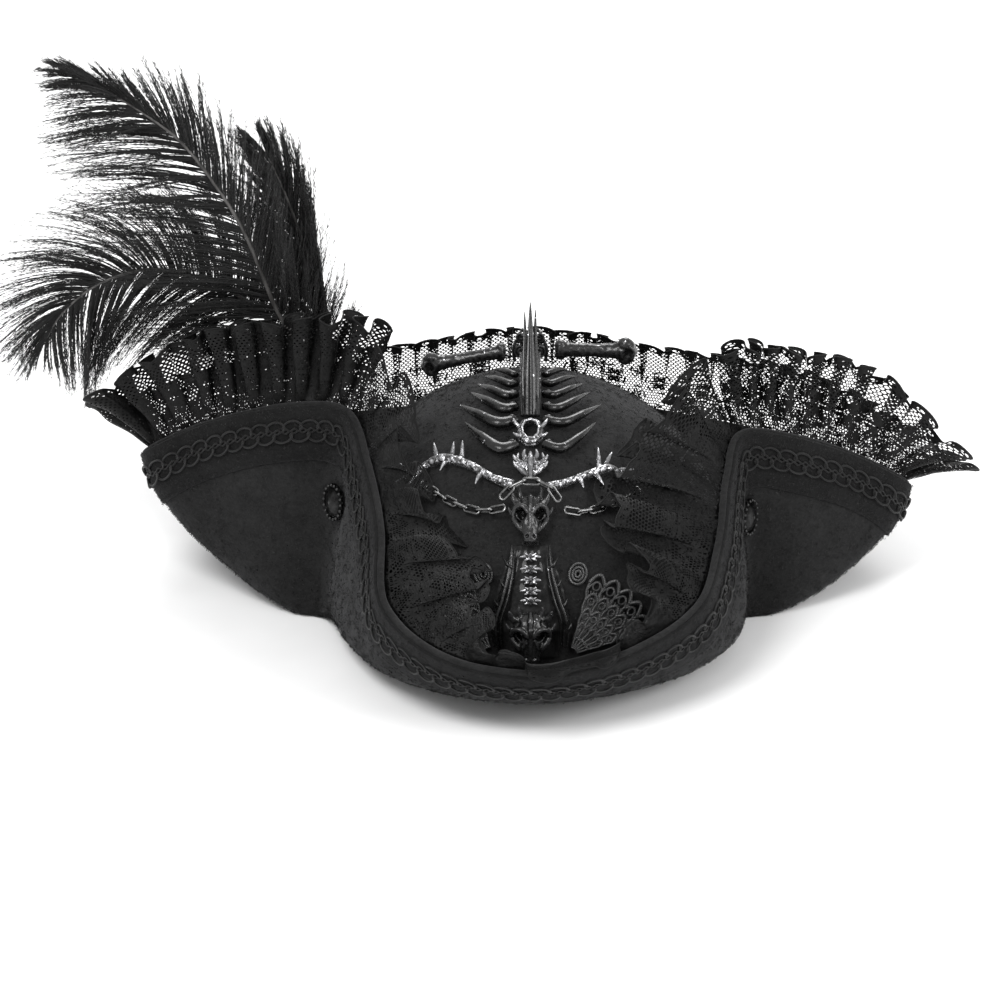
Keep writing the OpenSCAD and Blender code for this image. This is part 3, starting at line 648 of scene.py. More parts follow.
def hem_band():
    u = np.linspace(0, STATION_COUNT, 480, endpoint=False)
    low, high = SEAM_GAP, SEAM_GAP + HEM_T
    section = [(HEM_W, low), (HEM_W, high - 0.5), (HEM_W - 0.5, high - 0.1), (HEM_W - 1.2, high),
               (20, high), (17, high), (11, high), (6, high), (1.2, high), (0.5, high - 0.3), (0.3, low)]
    rows = np.stack([brim_in(u, d, lift) for d, lift in section])
    shape = Shape().grid(ruffled(rows, 15, 0.15), True)
    band = shape.stand_for(["hem_band"], "brim_hem_band", FELT_BAND, "felt")
    _, length = rim_scale(HEM_W / 2)
    stitches(HEM_W - 1.9, high + 0.02, "hem_stitches")
    rng = np.random.default_rng(6)
    where = rng.uniform(0, STATION_COUNT, 9000)
    far = rng.uniform(0.5, HEM_W, 9000)
    way = brim_normal(where, share_in(where, far))
    fibres("band_fuzz", brim_in(where, far, high), way, 30000, 1.5, 12)


def stitches(distance, lift, name):
    """A row of short sewn stitches, sunk in the felt, round the brim."""
    scale_u, length = rim_scale(distance)
    pitch, reach = 3.6, 1.25
    count = round(length[-1] / pitch)
    shape = Shape()
    for k in range(count):
        s = length[-1] * k / count + np.linspace(-reach, reach, 5)
        u = np.interp(s % length[-1], length, scale_u)
        sink = 0.36 * np.array([1, 0.1, 0, 0.1, 1])
        shape.tube(brim_in(u, distance, lift - sink), 0.2, 5)
    shape.piece(name, THREAD, "felt")


def braid():
    """Two mirrored rows of looping gimp cord, half a repeat apart, with a cord down each side."""
    scale_u, length = rim_scale(BRAID_MID)
    repeat = 7.6
    count = round(length[-1] / repeat)
    pitch = length[-1] / count
    low = 2 * SEAM_GAP + HEM_T
    shape = Shape()
    t = np.linspace(0, 2 * np.pi * count, count * 22, endpoint=False)
    for side in (-1, 1):
        phase = 0 if side > 0 else np.pi
        s = (t * pitch / (2 * np.pi) + 1.95 * np.sin(t + phase)) % length[-1]
        across = side * (2.75 + 1.9 * np.cos(t + phase))
        lift = low + 0.75 + 0.32 * np.sin(t + phase + 0.6) + 0.2 * side
        u = np.interp(s, length, scale_u)
        shape.tube(brim_in(u, BRAID_MID + across, lift), 0.52, 6, closed=True, aspect=0.9)
        curl = (t * pitch / (2 * np.pi)) % length[-1]
        u = np.interp(curl, length, scale_u)
        centre = BRAID_MID + side * (0.5 + 0.5 * np.sin(2 * t))
        shape.tube(brim_in(u, centre, low + 0.3), 0.38, 5, closed=True)
    shape.stand_for(["braid_trim"], "brim_braid", BRAID, "braid")


# ---------- lace ----------
LACE_DEPTH = 40.0
LACE_REPEAT = 24.0
FLOP_AT = 0.5
FLOP_REACH = 1.2


def lace(name, node, start, end, folds, deep, dip, material, seed, flop=0.0):
    """A gathered, scalloped length of lace from one station to another.

    flop is how far its middle falls outwards over the brim's edge, in millimetres."""
    rng = np.random.default_rng(seed)
    columns = folds * 30
    q = np.linspace(0, 1, columns)
    wander = np.interp(q * folds, np.arange(folds + 2), rng.uniform(-0.8, 0.8, folds + 2))
    size = np.interp(q * folds, np.arange(folds + 2), rng.uniform(0.7, 1.15, folds + 2)) * deep
    phase = 2 * np.pi * folds * q + wander
    turned = rng.uniform(0, 2 * np.pi)
    middle = (start + (end - start) * q + STATION_COUNT / 2) % STATION_COUNT - STATION_COUNT / 2
    over = np.clip(1.15 - np.abs(middle - FLOP_AT) / FLOP_REACH, 0, 1) ** 0.8
    shares = np.concatenate([[-0.17, -0.08, 0.0, 0.02, 0.05], np.linspace(0.09, 1.0, 30)])

    def cloth(share, depth):
        spread = -(end - start) / folds * 0.21 * max(share, 0) ** 0.6 * (1 - 0.9 * over * (flop > 0))
        u = start + (end - start) * q + spread * np.sin(2 * phase)
        u = np.clip(u, start, end)
        s = brim_at(u)
        n = brim_normal(u, np.ones_like(u))
        if share <= 0:
            rub = 0.3 * np.sin(phase * 2)
            return brim_in(u, np.full_like(u, -share * LACE_DEPTH + 0.2), -FELT_T - 1.15 + rub)
        out = unit(profile_slope(s, np.ones_like(u)))
        root = brim(u, 1, -FELT_T - 1.3)
        wave = (np.sin(phase) - 0.3) * size * share ** 0.7
        curl = 0.22 * size * share ** 2 * np.sin(2.6 * share * np.pi + phase * 0.5 + turned)
        sway = 1.2 * share * np.sin(phase * 0.37 + seed)
        reach = s[:, 7:10] * depth[:, None]
        if flop:
            fall = over[:, None] * (0.88 + 0.12 * np.sin(phase))[:, None]
            reach = reach * (1 - 0.9 * fall) + fall * share * np.array([0.0, -flop, -0.45 * flop])
            arch = out * ((7 + (20 + 5 * np.sin(phase)) * over) * share * (1 - share))[:, None]
            return root + reach + arch + n * (wave * (1 - 0.8 * over) + sway)[:, None]
        arch = out * (7 * share * (1 - share))
        return root + reach + arch + n * (wave + curl + sway)[:, None]

    gather_row = cloth(0.3, np.full(columns, 0.3))
    run = run_of(gather_row)
    flat = round(run[-1] / LACE_REPEAT) * LACE_REPEAT
    x = run * flat / run[-1]
    full = 1.03 - dip * (1 - np.abs(np.sin(2 * np.pi * x / LACE_REPEAT)) ** 0.6)
    rows, uv, hem = [], [], []
    for share in shares:
        depth = np.maximum(share, 0) * full
        rows.append(cloth(share, depth))
        y = (share + 0.17) * LACE_DEPTH * (full if share > 0 else 1)
        y = np.broadcast_to(y, x.shape)
        uv.append(np.stack([x, y], axis=1))
        hem.append(np.stack([x, (1 - share) * LACE_DEPTH * full], axis=1))
    rows = ruffled(np.stack(rows), 9, 0.5)
    shape = Shape().grid(rows, False, np.stack(uv))
    piece = shape.stand_for([node], name, material, "lace", extra_uv=np.concatenate(hem))
    cords = Shape().tube(rows[-1], 0.3, 5)
    cord = cords.piece(name + "_hem_cord", HEM_CORD, "lace")


def all_lace():
    a, b, c, d = LACE_JOINS
    lace("lace_ruffle_right", "lace_right_wing", a + 0.02, b - 0.02, 13, 7.4, 0.10, LACE_WING, 3)
    lace("lace_ruffle_back", "lace_back", b + 0.02, c - 0.02, 20, 2.6, 0.10, LACE_BACK, 5)
    lace("lace_ruffle_left", "lace_left_wing", c + 0.02, d - 0.02, 13, 7.4, 0.10, LACE_DOUBLED, 7)
    lace("lace_ruffle_front", "lace_front", d + 0.02, STATION_COUNT + a - 0.02, 14, 5.4, 0.08, LACE_WING, 9,
         flop=9.0)


# ---------- appliques ----------
def applique(side):
    """A corded lace fan: lobes round its edge, rings inside it, rays and small eyelets."""
    shape = Shape()

    def fan(radius, angle, lift):
        return on_front(side * (16 + radius * np.cos(angle)), 10 + 0.95 * radius * np.sin(angle), lift)

    low, high = math.radians(8), math.radians(74)
    angle = np.linspace(low, high, 160)
    lobes = np.abs(np.sin(np.linspace(0, 5 * np.pi, 160)))
    for radius, deep, thick in ((29.5, 3.2, 0.75), (27.2, 3.0, 0.4), (23.0, 2.6, 0.6), (17.5, 2.2, 0.6),
                                (12.0, 1.8, 0.5), (6.5, 1.0, 0.5)):
        shape.tube(fan(radius + deep * lobes, angle, 1.2 + thick), thick, 6)
    for k in range(6):
        a = low + (high - low) * k / 5
        r = np.linspace(3, 30, 24)
        shape.tube(fan(r, a + 0.012 * np.sin(r), 1.5), 0.5, 6)
    for k in range(5):
        middle = low + (high - low) * (k + 0.5) / 5
        for radius, size in ((28.5, 1.5), (22.5, 1.3), (16.5, 1.1)):
            t = circle(18)
            eyelet = fan(radius + size * np.cos(t), middle + size / radius * np.sin(t), 1.7)
            shape.tube(eyelet, 0.32, 5, closed=True)
        for ray in np.linspace(-0.09, 0.09, 5):
            r = np.linspace(8, 26.5, 20)
            shape.tube(fan(r, middle + ray * r / 26, 1.0 + 0.3 * np.sin(3 * r)), 0.3, 5)
    t = circle(40)
    for size in (3.6, 2.3, 1.1):
        rosette = on_front(side * (19.5 + size * np.cos(t)), 40.5 + size * np.sin(t), 1.2)
        shape.tube(rosette, 0.5, 6, closed=True)
    name = "right" if side > 0 else "left"
    shape.stand_for(["applique_" + name], "applique_fan_" + name, GUIPURE, "applique_cord")


# ---------- plumes ----------
# The width of quill whose barbs draw together into one lock, and the barbules on each barb.
LOCK = 2.0
BARBULES = 28


def plume(name, path, sides, count, droop, seed):
    """A plume: its quill, and barbs each side of it with fine barbules.

    sides has, for the lower and the upper side, the barbs' length at each point of the path, the angle
    at which they leave the quill, and how far they turn out and ahead."""
    rng = np.random.default_rng(seed)
    path = np.asarray(path, float)
    last = len(path) - 1
    t = np.linspace(0, last, 90)
    radius = np.interp(t / last, [0, 0.15, 0.6, 1], [1.5, 1.4, 0.8, 0.28])
    body = "plume_" + name
    quill = Shape().tube(along(path, t), radius, 10)
    quill.stand_for(["quill_" + name], "quill_shaft_" + name, QUILL, "quill", body=body)
    shape = Shape()
    f = np.linspace(0, 1, 13)[None, :, None]
    miles = run_of(path)
    for side, (reach, lean, outward, onward) in zip((-1, 1), sides):
        mile = np.sort(miles[2] + (miles[-1] - miles[2]) * rng.random(count) ** 0.92)
        at = np.interp(mile, miles, np.arange(last + 1))
        root = along(path, at)
        ahead = unit(along(path, at + 0.1) - along(path, at - 0.1))
        out = unit(np.cross(ahead, np.array([0.0, -1.0, 0.0]))) * side
        depth = np.cross(ahead, out)
        size = np.interp(at, np.arange(last + 1), reach) * rng.uniform(0.7, 1.08, count)
        lock = np.round(mile / LOCK).astype(int)
        shift = rng.normal(0, 0.045, lock[-1] + 1)[lock]
        gather = 0.9 * (mile - lock * LOCK) / np.maximum(size, 12)
        layer = rng.normal(0, 0.18, lock[-1] + 1)[lock] + rng.normal(0, 0.05, count)
        angle = np.radians(np.interp(at, np.arange(last + 1), lean)) + rng.normal(0, 0.015, count)
        cos, sin = np.cos(angle)[:, None], np.sin(angle)[:, None]
        way = unit(ahead * cos + out * sin + depth * layer[:, None])
        bend = out * outward + ahead * onward + np.array([0, 0, -droop])
        aside = (out * cos - ahead * sin) * (shift + gather)[:, None]
        bend = bend * rng.uniform(0.9, 1.1, (count, 1)) + aside
        waver = rng.normal(0, 0.010, (count, 1, 3)) * np.sin(3.2 * f)
        points = root[:, None] + size[:, None, None] * (way[:, None] * f + bend[:, None] * f ** 2 + waver)
        barbs(shape, points, rng)
    shape.stand_for(["vane_" + name], "barbs_" + name, BARBS, "feather", body=body)


def barbs(shape, points, rng):
    """Three-sided tapering strands along rows of points, with barbules on both sides of each."""
    count, steps = points.shape[:2]
    tangent = unit(np.gradient(points, axis=1))
    side = unit(np.cross(tangent, [0.15, -1, 0.2]))
    up = np.cross(tangent, side)
    taper = (0.27 * (1 - 0.8 * np.linspace(0, 1, steps)))[None, :, None]
    ring = [points + (side * math.cos(a) + up * math.sin(a)) * taper for a in (0, 2.09, 4.19)]
    ring = np.stack(ring, axis=2)
    base = (np.arange(count) * steps * 3)[:, None, None]
    i = (np.arange(steps - 1) * 3)[None, :, None]
    k = np.arange(3)[None, None, :]
    k2 = (k + 1) % 3
    near = base + i
    faces = np.stack(np.broadcast_arrays(near + k, near + k2, near + 3 + k2, near + 3 + k), axis=-1)
    shape.add(ring, faces.reshape(-1, 4))
    at = rng.uniform(0.06, 1.0, (count, BARBULES)) * (steps - 1)
    low = np.minimum(at.astype(int), steps - 2)
    part = (at - low)[..., None]
    row = np.arange(count)[:, None]
    root = points[row, low] * (1 - part) + points[row, low + 1] * part
    go = tangent[row, low]
    out = unit(side[row, low] * rng.choice([-1.0, 1.0], (count, BARBULES, 1))
               + up[row, low] * rng.normal(0, 0.6, (count, BARBULES, 1)))
    size = rng.uniform(1.0, 2.3, (count, BARBULES, 1))
    middle = root + (go + out * 0.40) * size * 0.5
    tip = middle + (go + out * 0.12) * size * 0.6
    shape.blades(root, middle, tip, out * 0.055, 0.8)


def all_plumes():
    tall = [[-84.2, 22, 31], [-84.8, 22, 45], [-88.5, 22, 66], [-97, 22, 92], [-108, 22, 114],
            [-123, 22, 153], [-144, 20, 187], [-161, 17, 204], [-178, 13, 217], [-191, 10, 226]]
    curled = [[-81.4, 34, 31], [-82, 34, 45], [-88, 34, 62], [-99, 34, 84], [-117, 35, 108],
              [-140, 36, 121], [-162, 36, 125], [-183, 34, 119], [-198, 32, 107], [-205, 30, 96]]
    short = [[-77.4, 46, 31], [-77.8, 46, 45], [-81, 46, 66], [-86, 46, 92], [-92, 46, 118],
             [-99, 45, 142], [-106, 44, 162], [-112, 43, 176]]
    plume("tall", tall,
          (([0, 0, 44, 60, 64, 62, 54, 40, 26, 16], [50, 50, 50, 50, 49, 45, 36, 26, 13, 3], 0.20, -0.02),
           ([0, 0, 34, 46, 50, 47, 39, 28, 22, 15], [30, 30, 30, 30, 31, 31, 29, 22, 11, 3], -0.02, 0.10)),
          770, 0.10, 21)
    plume("curled", curled,
          (([0, 0, 24, 34, 42, 46, 44, 38, 26, 12], [46, 46, 46, 46, 46, 46, 46, 44, 34, 14], 0.20, -0.06),
           ([0, 0, 40, 60, 68, 66, 58, 44, 26, 12], [62, 62, 62, 64, 66, 65, 60, 48, 30, 10], -0.12, 0.26)),
          740, 0.26, 22)
    plume("short", short,
          (([0, 0, 26, 34, 38, 38, 30, 14], [22, 22, 22, 22, 20, 18, 16, 12], 0.04, 0.02),
           ([0, 0, 24, 32, 38, 37, 28, 12], [0, 0, 2, 9, 22, 28, 24, 16], -0.16, 0.10)),
          520, 0.02, 23)


# ---------- inside ----------
def inside():
    """The satin lining, gored like a cap, and the sweatband with its stitched edge."""
    turn = circle(216)[None, :]
    rise = np.radians(np.linspace(4, 89.6, 34))[:, None]
    pucker = 0.35 * np.abs(np.sin(3 * turn)) ** 0.3
    outset = FELT_T + 0.75
    lining = Shape().grid(dome(turn, rise, outset - 0.35 + pucker), True)
    cap = lining.stand_for(["crown_lining"], "lining_cap", SATIN, "lining")
    z = np.linspace(0.2, 29.8, 14)
    half = np.interp(z, [0, 30], [CROWN_W - 4.9, 78.9])
    tuck = 0.5 * np.sin(np.linspace(0, np.pi, 14)) ** 0.2
    ring = circle(216)

    def loop(radius, height):
        return np.stack([radius * np.sin(ring), -radius * CROWN_RATIO * np.cos(ring),
                         np.full_like(ring, height)], axis=1)

    rows = [loop(half[i] - 0.5 + tuck[i], z[i]) for i in range(14)]
    rows += [loop(half[i] - 0.5 - tuck[i], z[i]) for i in range(13, -1, -1)] + rows[:1]
    Shape().grid(np.stack(rows), True).stand_for(["sweatband"], "sweatband_leather", LEATHER,
                                                 "sweatband_leather")
    seam = Shape()
    count = 150
    radius = np.interp(2.6, z, half) - 1.0
    for k in range(count):
        a = 2 * np.pi * (k + np.linspace(-0.3, 0.3, 5)) / count
        stitch = np.stack([radius * np.sin(a), -radius * CROWN_RATIO * np.cos(a), np.full(5, 2.6)], axis=1)
        seam.tube(stitch, 0.22, 5)
    seam.piece("sweatband_stitches", THREAD, "sweatband_leather")


# ---------- cast ornament ----------
def crown_place(rise, lift):
    """A map from a flat patch to the crown's middle line, its Z out of the felt and Y up the crown."""
    p = dome(0.0, math.radians(rise))
    n = dome_normal(p)
    axes = np.array([[1, 0, 0], [0, n[2], -n[1]], [0, n[1], n[2]]])
    return lambda points: points @ axes + p + n * lift


def as_is(points):
    return points


def cast(name, shape, material, nodes, slot="cast_black", voxel=0.34, soften=3, dents=(), floor=None,
         place=as_is, grain=0.10):
    """Fuses a shape's parts into one cast piece, presses hollows in it and sets it in its place.

    dents are (centre, radius, depth, direction), in the shape's own millimetres."""
    mesh = bpy.data.meshes.new("draft")
    mesh.from_pydata((np.concatenate(shape.points) * MM).tolist(), [], shape.faces)
    draft = bpy.data.objects.new("draft", mesh)
    bpy.context.scene.collection.objects.link(draft)
    remesh = draft.modifiers.new("fuse", "REMESH")
    remesh.mode, remesh.voxel_size = "VOXEL", voxel * MM
    smooth = draft.modifiers.new("soften", "SMOOTH")
    smooth.factor, smooth.iterations = 0.5, soften
    fused = bpy.data.meshes.new_from_object(draft.evaluated_get(bpy.context.evaluated_depsgraph_get()))
    bpy.data.objects.remove(draft)
    points = np.empty(len(fused.vertices) * 3)
    fused.vertices.foreach_get("co", points)
    points = points.reshape(-1, 3) / MM
    for centre, radius, depth, way in dents:
        far = np.linalg.norm(points - centre, axis=1) / radius
        push = np.clip(1 - far ** 2, 0, 1) ** 1.5 * depth
        points = points + unit(np.asarray(way, float)) * push[:, None]
    if floor is not None:
        points[:, 2] = np.maximum(points[:, 2], floor)
    points = ruffled(points, 1.6, grain)
    made = Shape().add(place(points), [list(p.vertices) for p in fused.polygons])
    made.stand_for(nodes, name, material, slot)


def mirrored(path):
    """A path and its mirror image about the hat's middle."""
    path = np.asarray(path, float)
    return path, path * [-1, 1, 1]


def smooth_tube(shape, path, radii, steps=5, sides=14):
    """A tube on a smooth curve through a few points, with a radius at each."""
    t = np.linspace(0, len(path) - 1, (len(path) - 1) * steps + 1)
    return shape.tube(along(path, t), np.interp(t, np.arange(len(path)), radii), sides)


def skull_shape(teeth, long_fangs):
    shape = Shape()
    shape.ball((0, 3.4, 3.4), (7.2, 7.8, 6.8), 36, 24)
    smooth_tube(shape, [(0, -1, 4.6), (0, -5, 5.2), (0, -9, 4.8), (0, -11.4, 4.2)], [5.4, 4.4, 3.7, 3.0])
    smooth_tube(shape, [(0, 4, 10.4), (0, -1, 9.3), (0, -6, 8.6), (0, -10.6, 7.0)], [1.2, 1.3, 1.0, 0.9])
    smooth_tube(shape, [(0, 4, 10.2), (0, 8, 9), (0, 11.2, 5.4)], [1.0, 1.2, 0.6])
    lines = [([(1.0, 0.2, 10.0), (3.8, 3.6, 10.4), (6.6, 3.4, 8.6), (7.8, 0.6, 6.4)], [0.9, 1.1, 1.2, 0.8]),
             ([(2.6, -7.6, 5.6), (5.4, -4.4, 6.4), (7.4, -0.8, 5.8), (7.2, 4, 4.4)], [0.9, 1.2, 1.1, 0.8]),
             ([(1.2, -1, 9.2), (2.4, -4.2, 8.2), (3.2, -8, 6.2)], [0.8, 0.9, 0.6]),
             ([(5.4, 6.4, 5.4), (7.6, 9.2, 6.2), (8.6, 12.4, 8.4)], [2.0, 1.4, 0.35]),
             ([(4, 9, 5), (4.8, 12, 5.6), (4.6, 14.2, 6.4)], [1.3, 0.9, 0.3]),
             ([(6.6, 1.2, 4), (8.6, 3, 3.6), (9.8, 5.8, 4)], [1.4, 0.9, 0.3])]
    for path, radii in lines:
        for copy in mirrored(path):
            smooth_tube(shape, copy, radii)
    for k in range(teeth):
        x = -2.9 + 5.8 * k / (teeth - 1)
        reach = 3.4 if long_fangs and k in (0, teeth - 1) else 2.0
        shape.tube([(x, -10.8, 3.9), (x * 1.05, -11.6, 2.6), (x * 1.02, -11.4 - reach * 0.3, 3.6 - reach)],
                   [0.8, 0.6, 0.15], 8)
    return shape


# Hollows of a skull's right half: eye, nostril, temple and cheek; its left half mirrors them.
RIGHT_DENTS = [((4.2, 0.6, 8.6), 3.1, 4.4, (-0.2, 0, -1)), ((1.3, -9.8, 7.2), 1.3, 2.2, (0, 0.3, -1)),
               ((5.4, 6.4, 7.4), 2.4, 1.0, (-0.6, 0, -0.8)), ((3.8, -6.0, 3.0), 1.8, 1.2, (-1, 0, 0))]
SKULL_DENTS = [(centre, radius, depth, way) for right, radius, depth, push in RIGHT_DENTS
               for centre, way in zip(mirrored(right), mirrored(push))]


def skulls():
    small = crown_place(44, 0.7)
    cast("cast_small_skull", skull_shape(5, False), CAST, ["small_skull"], dents=SKULL_DENTS, floor=0.2,
         place=lambda p: small(p * 0.95))
    base = crown_place(12.6, 2.6)
    cast("cast_base_skull", skull_shape(6, True), CAST, ["base_skull"], dents=SKULL_DENTS, floor=0.2,
         place=lambda p: base(p * [1.05, 0.9, 0.85]))


def neck():
    """Five vertebrae with wings and a spike, down the middle of the plate."""
    shape = Shape()
    for rise in (33.4, 30.2, 27.2, 24.4, 21.8):
        place = crown_place(rise, 2.9)
        shape.ball(place(np.array([0, 0, 1.8])), (1.7, 1.2, 2.0), 20, 12)
        for path, radii in (([(0.5, 0.1, 2.0), (2.5, 0.3, 2.6), (4.4, 0.0, 2.6)], [0.95, 0.7, 0.3]),
                            ([(0.5, 0.3, 2.4), (1.6, 1.0, 3.2), (2.5, 1.5, 3.6)], [0.6, 0.45, 0.2]),
                            ([(0.4, -0.4, 2.2), (1.6, -1.0, 2.6), (2.7, -1.4, 2.6)], [0.6, 0.45, 0.2])):
            for copy in mirrored(path):
                smooth_tube(shape, place(copy), radii, 4, 10)
        spike = place(np.array([(0, 0.1, 2.6), (0, 0.5, 4.2), (0, 0.9, 5.6)]))
        smooth_tube(shape, spike, [0.9, 0.6, 0.2], 4, 10)
    cast("cast_neck_bones", shape, SILVERED, ["neck_bones"], voxel=0.24, soften=2, grain=0.05)


def fluted(shape, path, radii, flutes, depth, twist=0.0, steps=8, sides=30):
    """A tapering spike with grooves along it."""
    first = len(shape.points)
    t = np.linspace(0, len(path) - 1, (len(path) - 1) * steps + 1)
    line = along(path, t)
    size = np.interp(t, np.arange(len(path)), radii)
    shape.tube(line, size, sides)
    ring = shape.points[first].reshape(len(line), sides, 3)
    a = circle(sides)[None, :]
    wave = 1 - depth * (0.5 + 0.5 * np.cos(flutes * a + twist * t[:, None]))
    shape.points[first] = (line[:, None] + (ring - line[:, None]) * wave[..., None]).reshape(-1, 3)


def spikes_and_tusks():
    root = on_top(0, -22, 3.4)
    shape = Shape()
    fan = [((0, 0, 0), (0, 4, 124), 2.6), ((-1.8, 1.6, 0), (-2.4, 5, 119), 1.8),
           ((1.8, 1.6, 0), (2.2, 5, 120), 1.8), ((-2.6, -0.6, 0), (-2.6, 1, 103), 1.6),
           ((2.6, -0.6, 0), (2.6, 1, 104), 1.6)]
    for shift, tip, thick in fan:
        start = root + np.array(shift)
        tip = np.array(tip, float)
        line = [start, start * 0.66 + tip * 0.34 + [shift[0] * 0.15, -0.4, 0], start * 0.3 + tip * 0.7, tip]
        fluted(shape, line, [thick, thick * 0.95, thick * 0.55, 0.16], 5, 0.34)
    shape.stand_for(["tail_spikes"], "cast_tail_spikes", CAST, "cast_black")
    for side, label in ((-1, "left"), (1, "right")):
        tusk = Shape()
        line = [on_front(side * 7.4, 50, 4.4), on_front(side * 8.6, 41, 4.8), on_front(side * 11, 32, 5.0),
                on_front(side * 13.6, 24, 4.8), on_front(side * 13.4, 14, 4.6)]
        fluted(tusk, line, [0.3, 1.5, 2.1, 2.4, 1.2], 4, 0.22, 0.5)
        inner = [on_front(side * 6.6, 47, 4.2), on_front(side * 7.2, 40, 5.6), on_front(side * 9.0, 32, 6.6),
                 on_front(side * 11.6, 24, 6.6), on_front(side * 11.4, 15, 5.4)]
        fluted(tusk, inner, [0.25, 0.7, 0.95, 0.9, 0.4], 3, 0.25, 1.0)
        for x, z in ((7.4, 43), (9.0, 36), (11.2, 29), (12.8, 20)):
            tip = on_front(side * (x + 3.2), z + 3.0, 5.4)
            fluted(tusk, [on_front(side * x, z, 4.8), on_front(side * (x + 1.6), z + 0.8, 5.8), tip],
                   [1.2, 0.8, 0.15], 3, 0.2)
        tusk.stand_for(["tusk_" + label], "cast_tusk_" + label, CAST, "cast_black")


RIB_SHAPES = ((-40, 26.5, -22, 2.2), (-24, 28.5, -7, 2.1), (-14, 23.8, 2, 1.9), (-3, 21.5, 10, 1.7),
              (8, 18.5, 18, 1.5), (19, 15, 27, 1.4))


def ribs_and_spine():
    for side, label in ((-1, "left"), (1, "right")):
        shape = Shape()
        for y, tip_x, tip_y, thick in RIB_SHAPES:
            line = [on_top(side * 6.0, y, 3.0), on_top(side * tip_x * 0.46, y - 3, 4.2),
                    on_top(side * tip_x * 0.74, y * 0.72 + tip_y * 0.28, 4.6),
                    on_top(side * tip_x, tip_y, 3.8)]
            fluted(shape, line, [thick * 1.15, thick * 1.35, thick * 1.05, 0.2], 2, 0.22, 0.4)
            knuckle = on_top(side * 7.4, y - 0.4, 3.6)
            shape.ball(knuckle, (thick * 0.9,) * 3, 16, 10)
        shape.stand_for(["ribs_" + label], "cast_ribs_" + label, CAST, "cast_black")
    spine = Shape()
    for k in range(9):
        y = -11 + 5.6 * k
        size = 4 - 0.16 * k
        p = on_top(0, y, 4.3)
        spine.ball(p, (size, size * 0.8, size * 0.95), 24, 16)
        smooth_tube(spine, [p + [0, 0, 1.6], p + [0, 1.6, 4.0], p + [0, 3.6, 5.6]], [1.7, 1.0, 0.25], 4, 10)
        for way in (-1, 1):
            wing = [p + [way * 1.6, 0, 0.8], p + [way * 3.6, 0.6, 2.4], p + [way * 4.4, 2.4, 3.8]]
            smooth_tube(spine, wing, [1.3, 0.8, 0.2], 4, 10)
    t = np.linspace(-11, 33.8, 12)
    spine.tube(on_top(np.zeros(12), t, 4.3), 2.6, 16)
    cast("cast_rib_spine", spine, CAST, ["rib_spine"], voxel=0.36)


def crest():
    """The keyhole's rim and the crest below it, with claws at their sides."""
    ring = circle(48)
    rim = Shape()
    for wide, tall, z, thick in ((4.4, 7.3, 2.6, 1.05), (3.5, 6.3, 3.8, 0.55), (5.0, 7.9, 1.4, 0.8)):
        wave = 1 + 0.03 * np.cos(9 * ring)
        loop = np.stack([wide * wave * np.sin(ring), 0.3 + tall * wave * np.cos(ring), z + 0 * ring], axis=1)
        rim.tube(loop, thick, 10, closed=True)
    for copy in mirrored([(4.4, 2, 3), (6.4, 3.6, 4.4), (7.2, 6.2, 4.6)]):
        smooth_tube(rim, copy, [1.1, 0.8, 0.2], 4, 10)
    for copy in mirrored([(4.0, -4, 3), (5.8, -4.6, 4.2), (7.4, -3.0, 4.4)]):
        smooth_tube(rim, copy, [1.0, 0.7, 0.2], 4, 10)
    cast("cast_keyhole", rim, SILVERED, ["keyhole_frame"], "cast_silvered", 0.28, 2,
         place=crown_place(72.5, 0.5), floor=0.0)
    shield = Shape()
    shield.ball((0, -1.0, 2.4), (4.8, 5.4, 2.6), 28, 18)
    shield.ball((0, -0.6, 4.2), (2.6, 3.2, 2.4), 24, 16)
    parts = [([(0, -6.8, 2.2), (0, -3, 5.4), (0, 1, 6.4), (0, 5, 5.0)], [0.8, 1.2, 1.1, 0.4]),
             ([(1, -5.6, 2.4), (4.0, -3.8, 3.6), (5.6, 0.6, 3.8), (5.0, 5.8, 3.4)], [1.0, 1.2, 1.2, 0.3]),
             ([(2, 2, 3.6), (2.8, 4.4, 4.2), (2.2, 7.0, 4.4)], [1.2, 0.9, 0.25]),
             ([(4.4, -2.6, 3.2), (6.2, -2.2, 4.4), (7.2, -0.6, 5.4)], [1.1, 0.8, 0.25]),
             ([(4.6, 0.6, 3.4), (6.4, 1.4, 4.6), (7.2, 3.2, 5.2)], [1.1, 0.8, 0.25])]
    for path, radii in parts:
        for copy in mirrored(path)[:1 if path[0][0] == 0 else 2]:
            smooth_tube(shield, copy, radii, 5, 12)
    cast("cast_crest", shield, SILVERED, ["crest_shield"], "cast_silvered", 0.28, 2,
         dents=[((1.9, -1.6, 5.6), 1.3, 1.6, (0, 0, -1)), ((-1.9, -1.6, 5.6), 1.3, 1.6, (0, 0, -1))],
         place=crown_place(61, 0.5), floor=0.0)


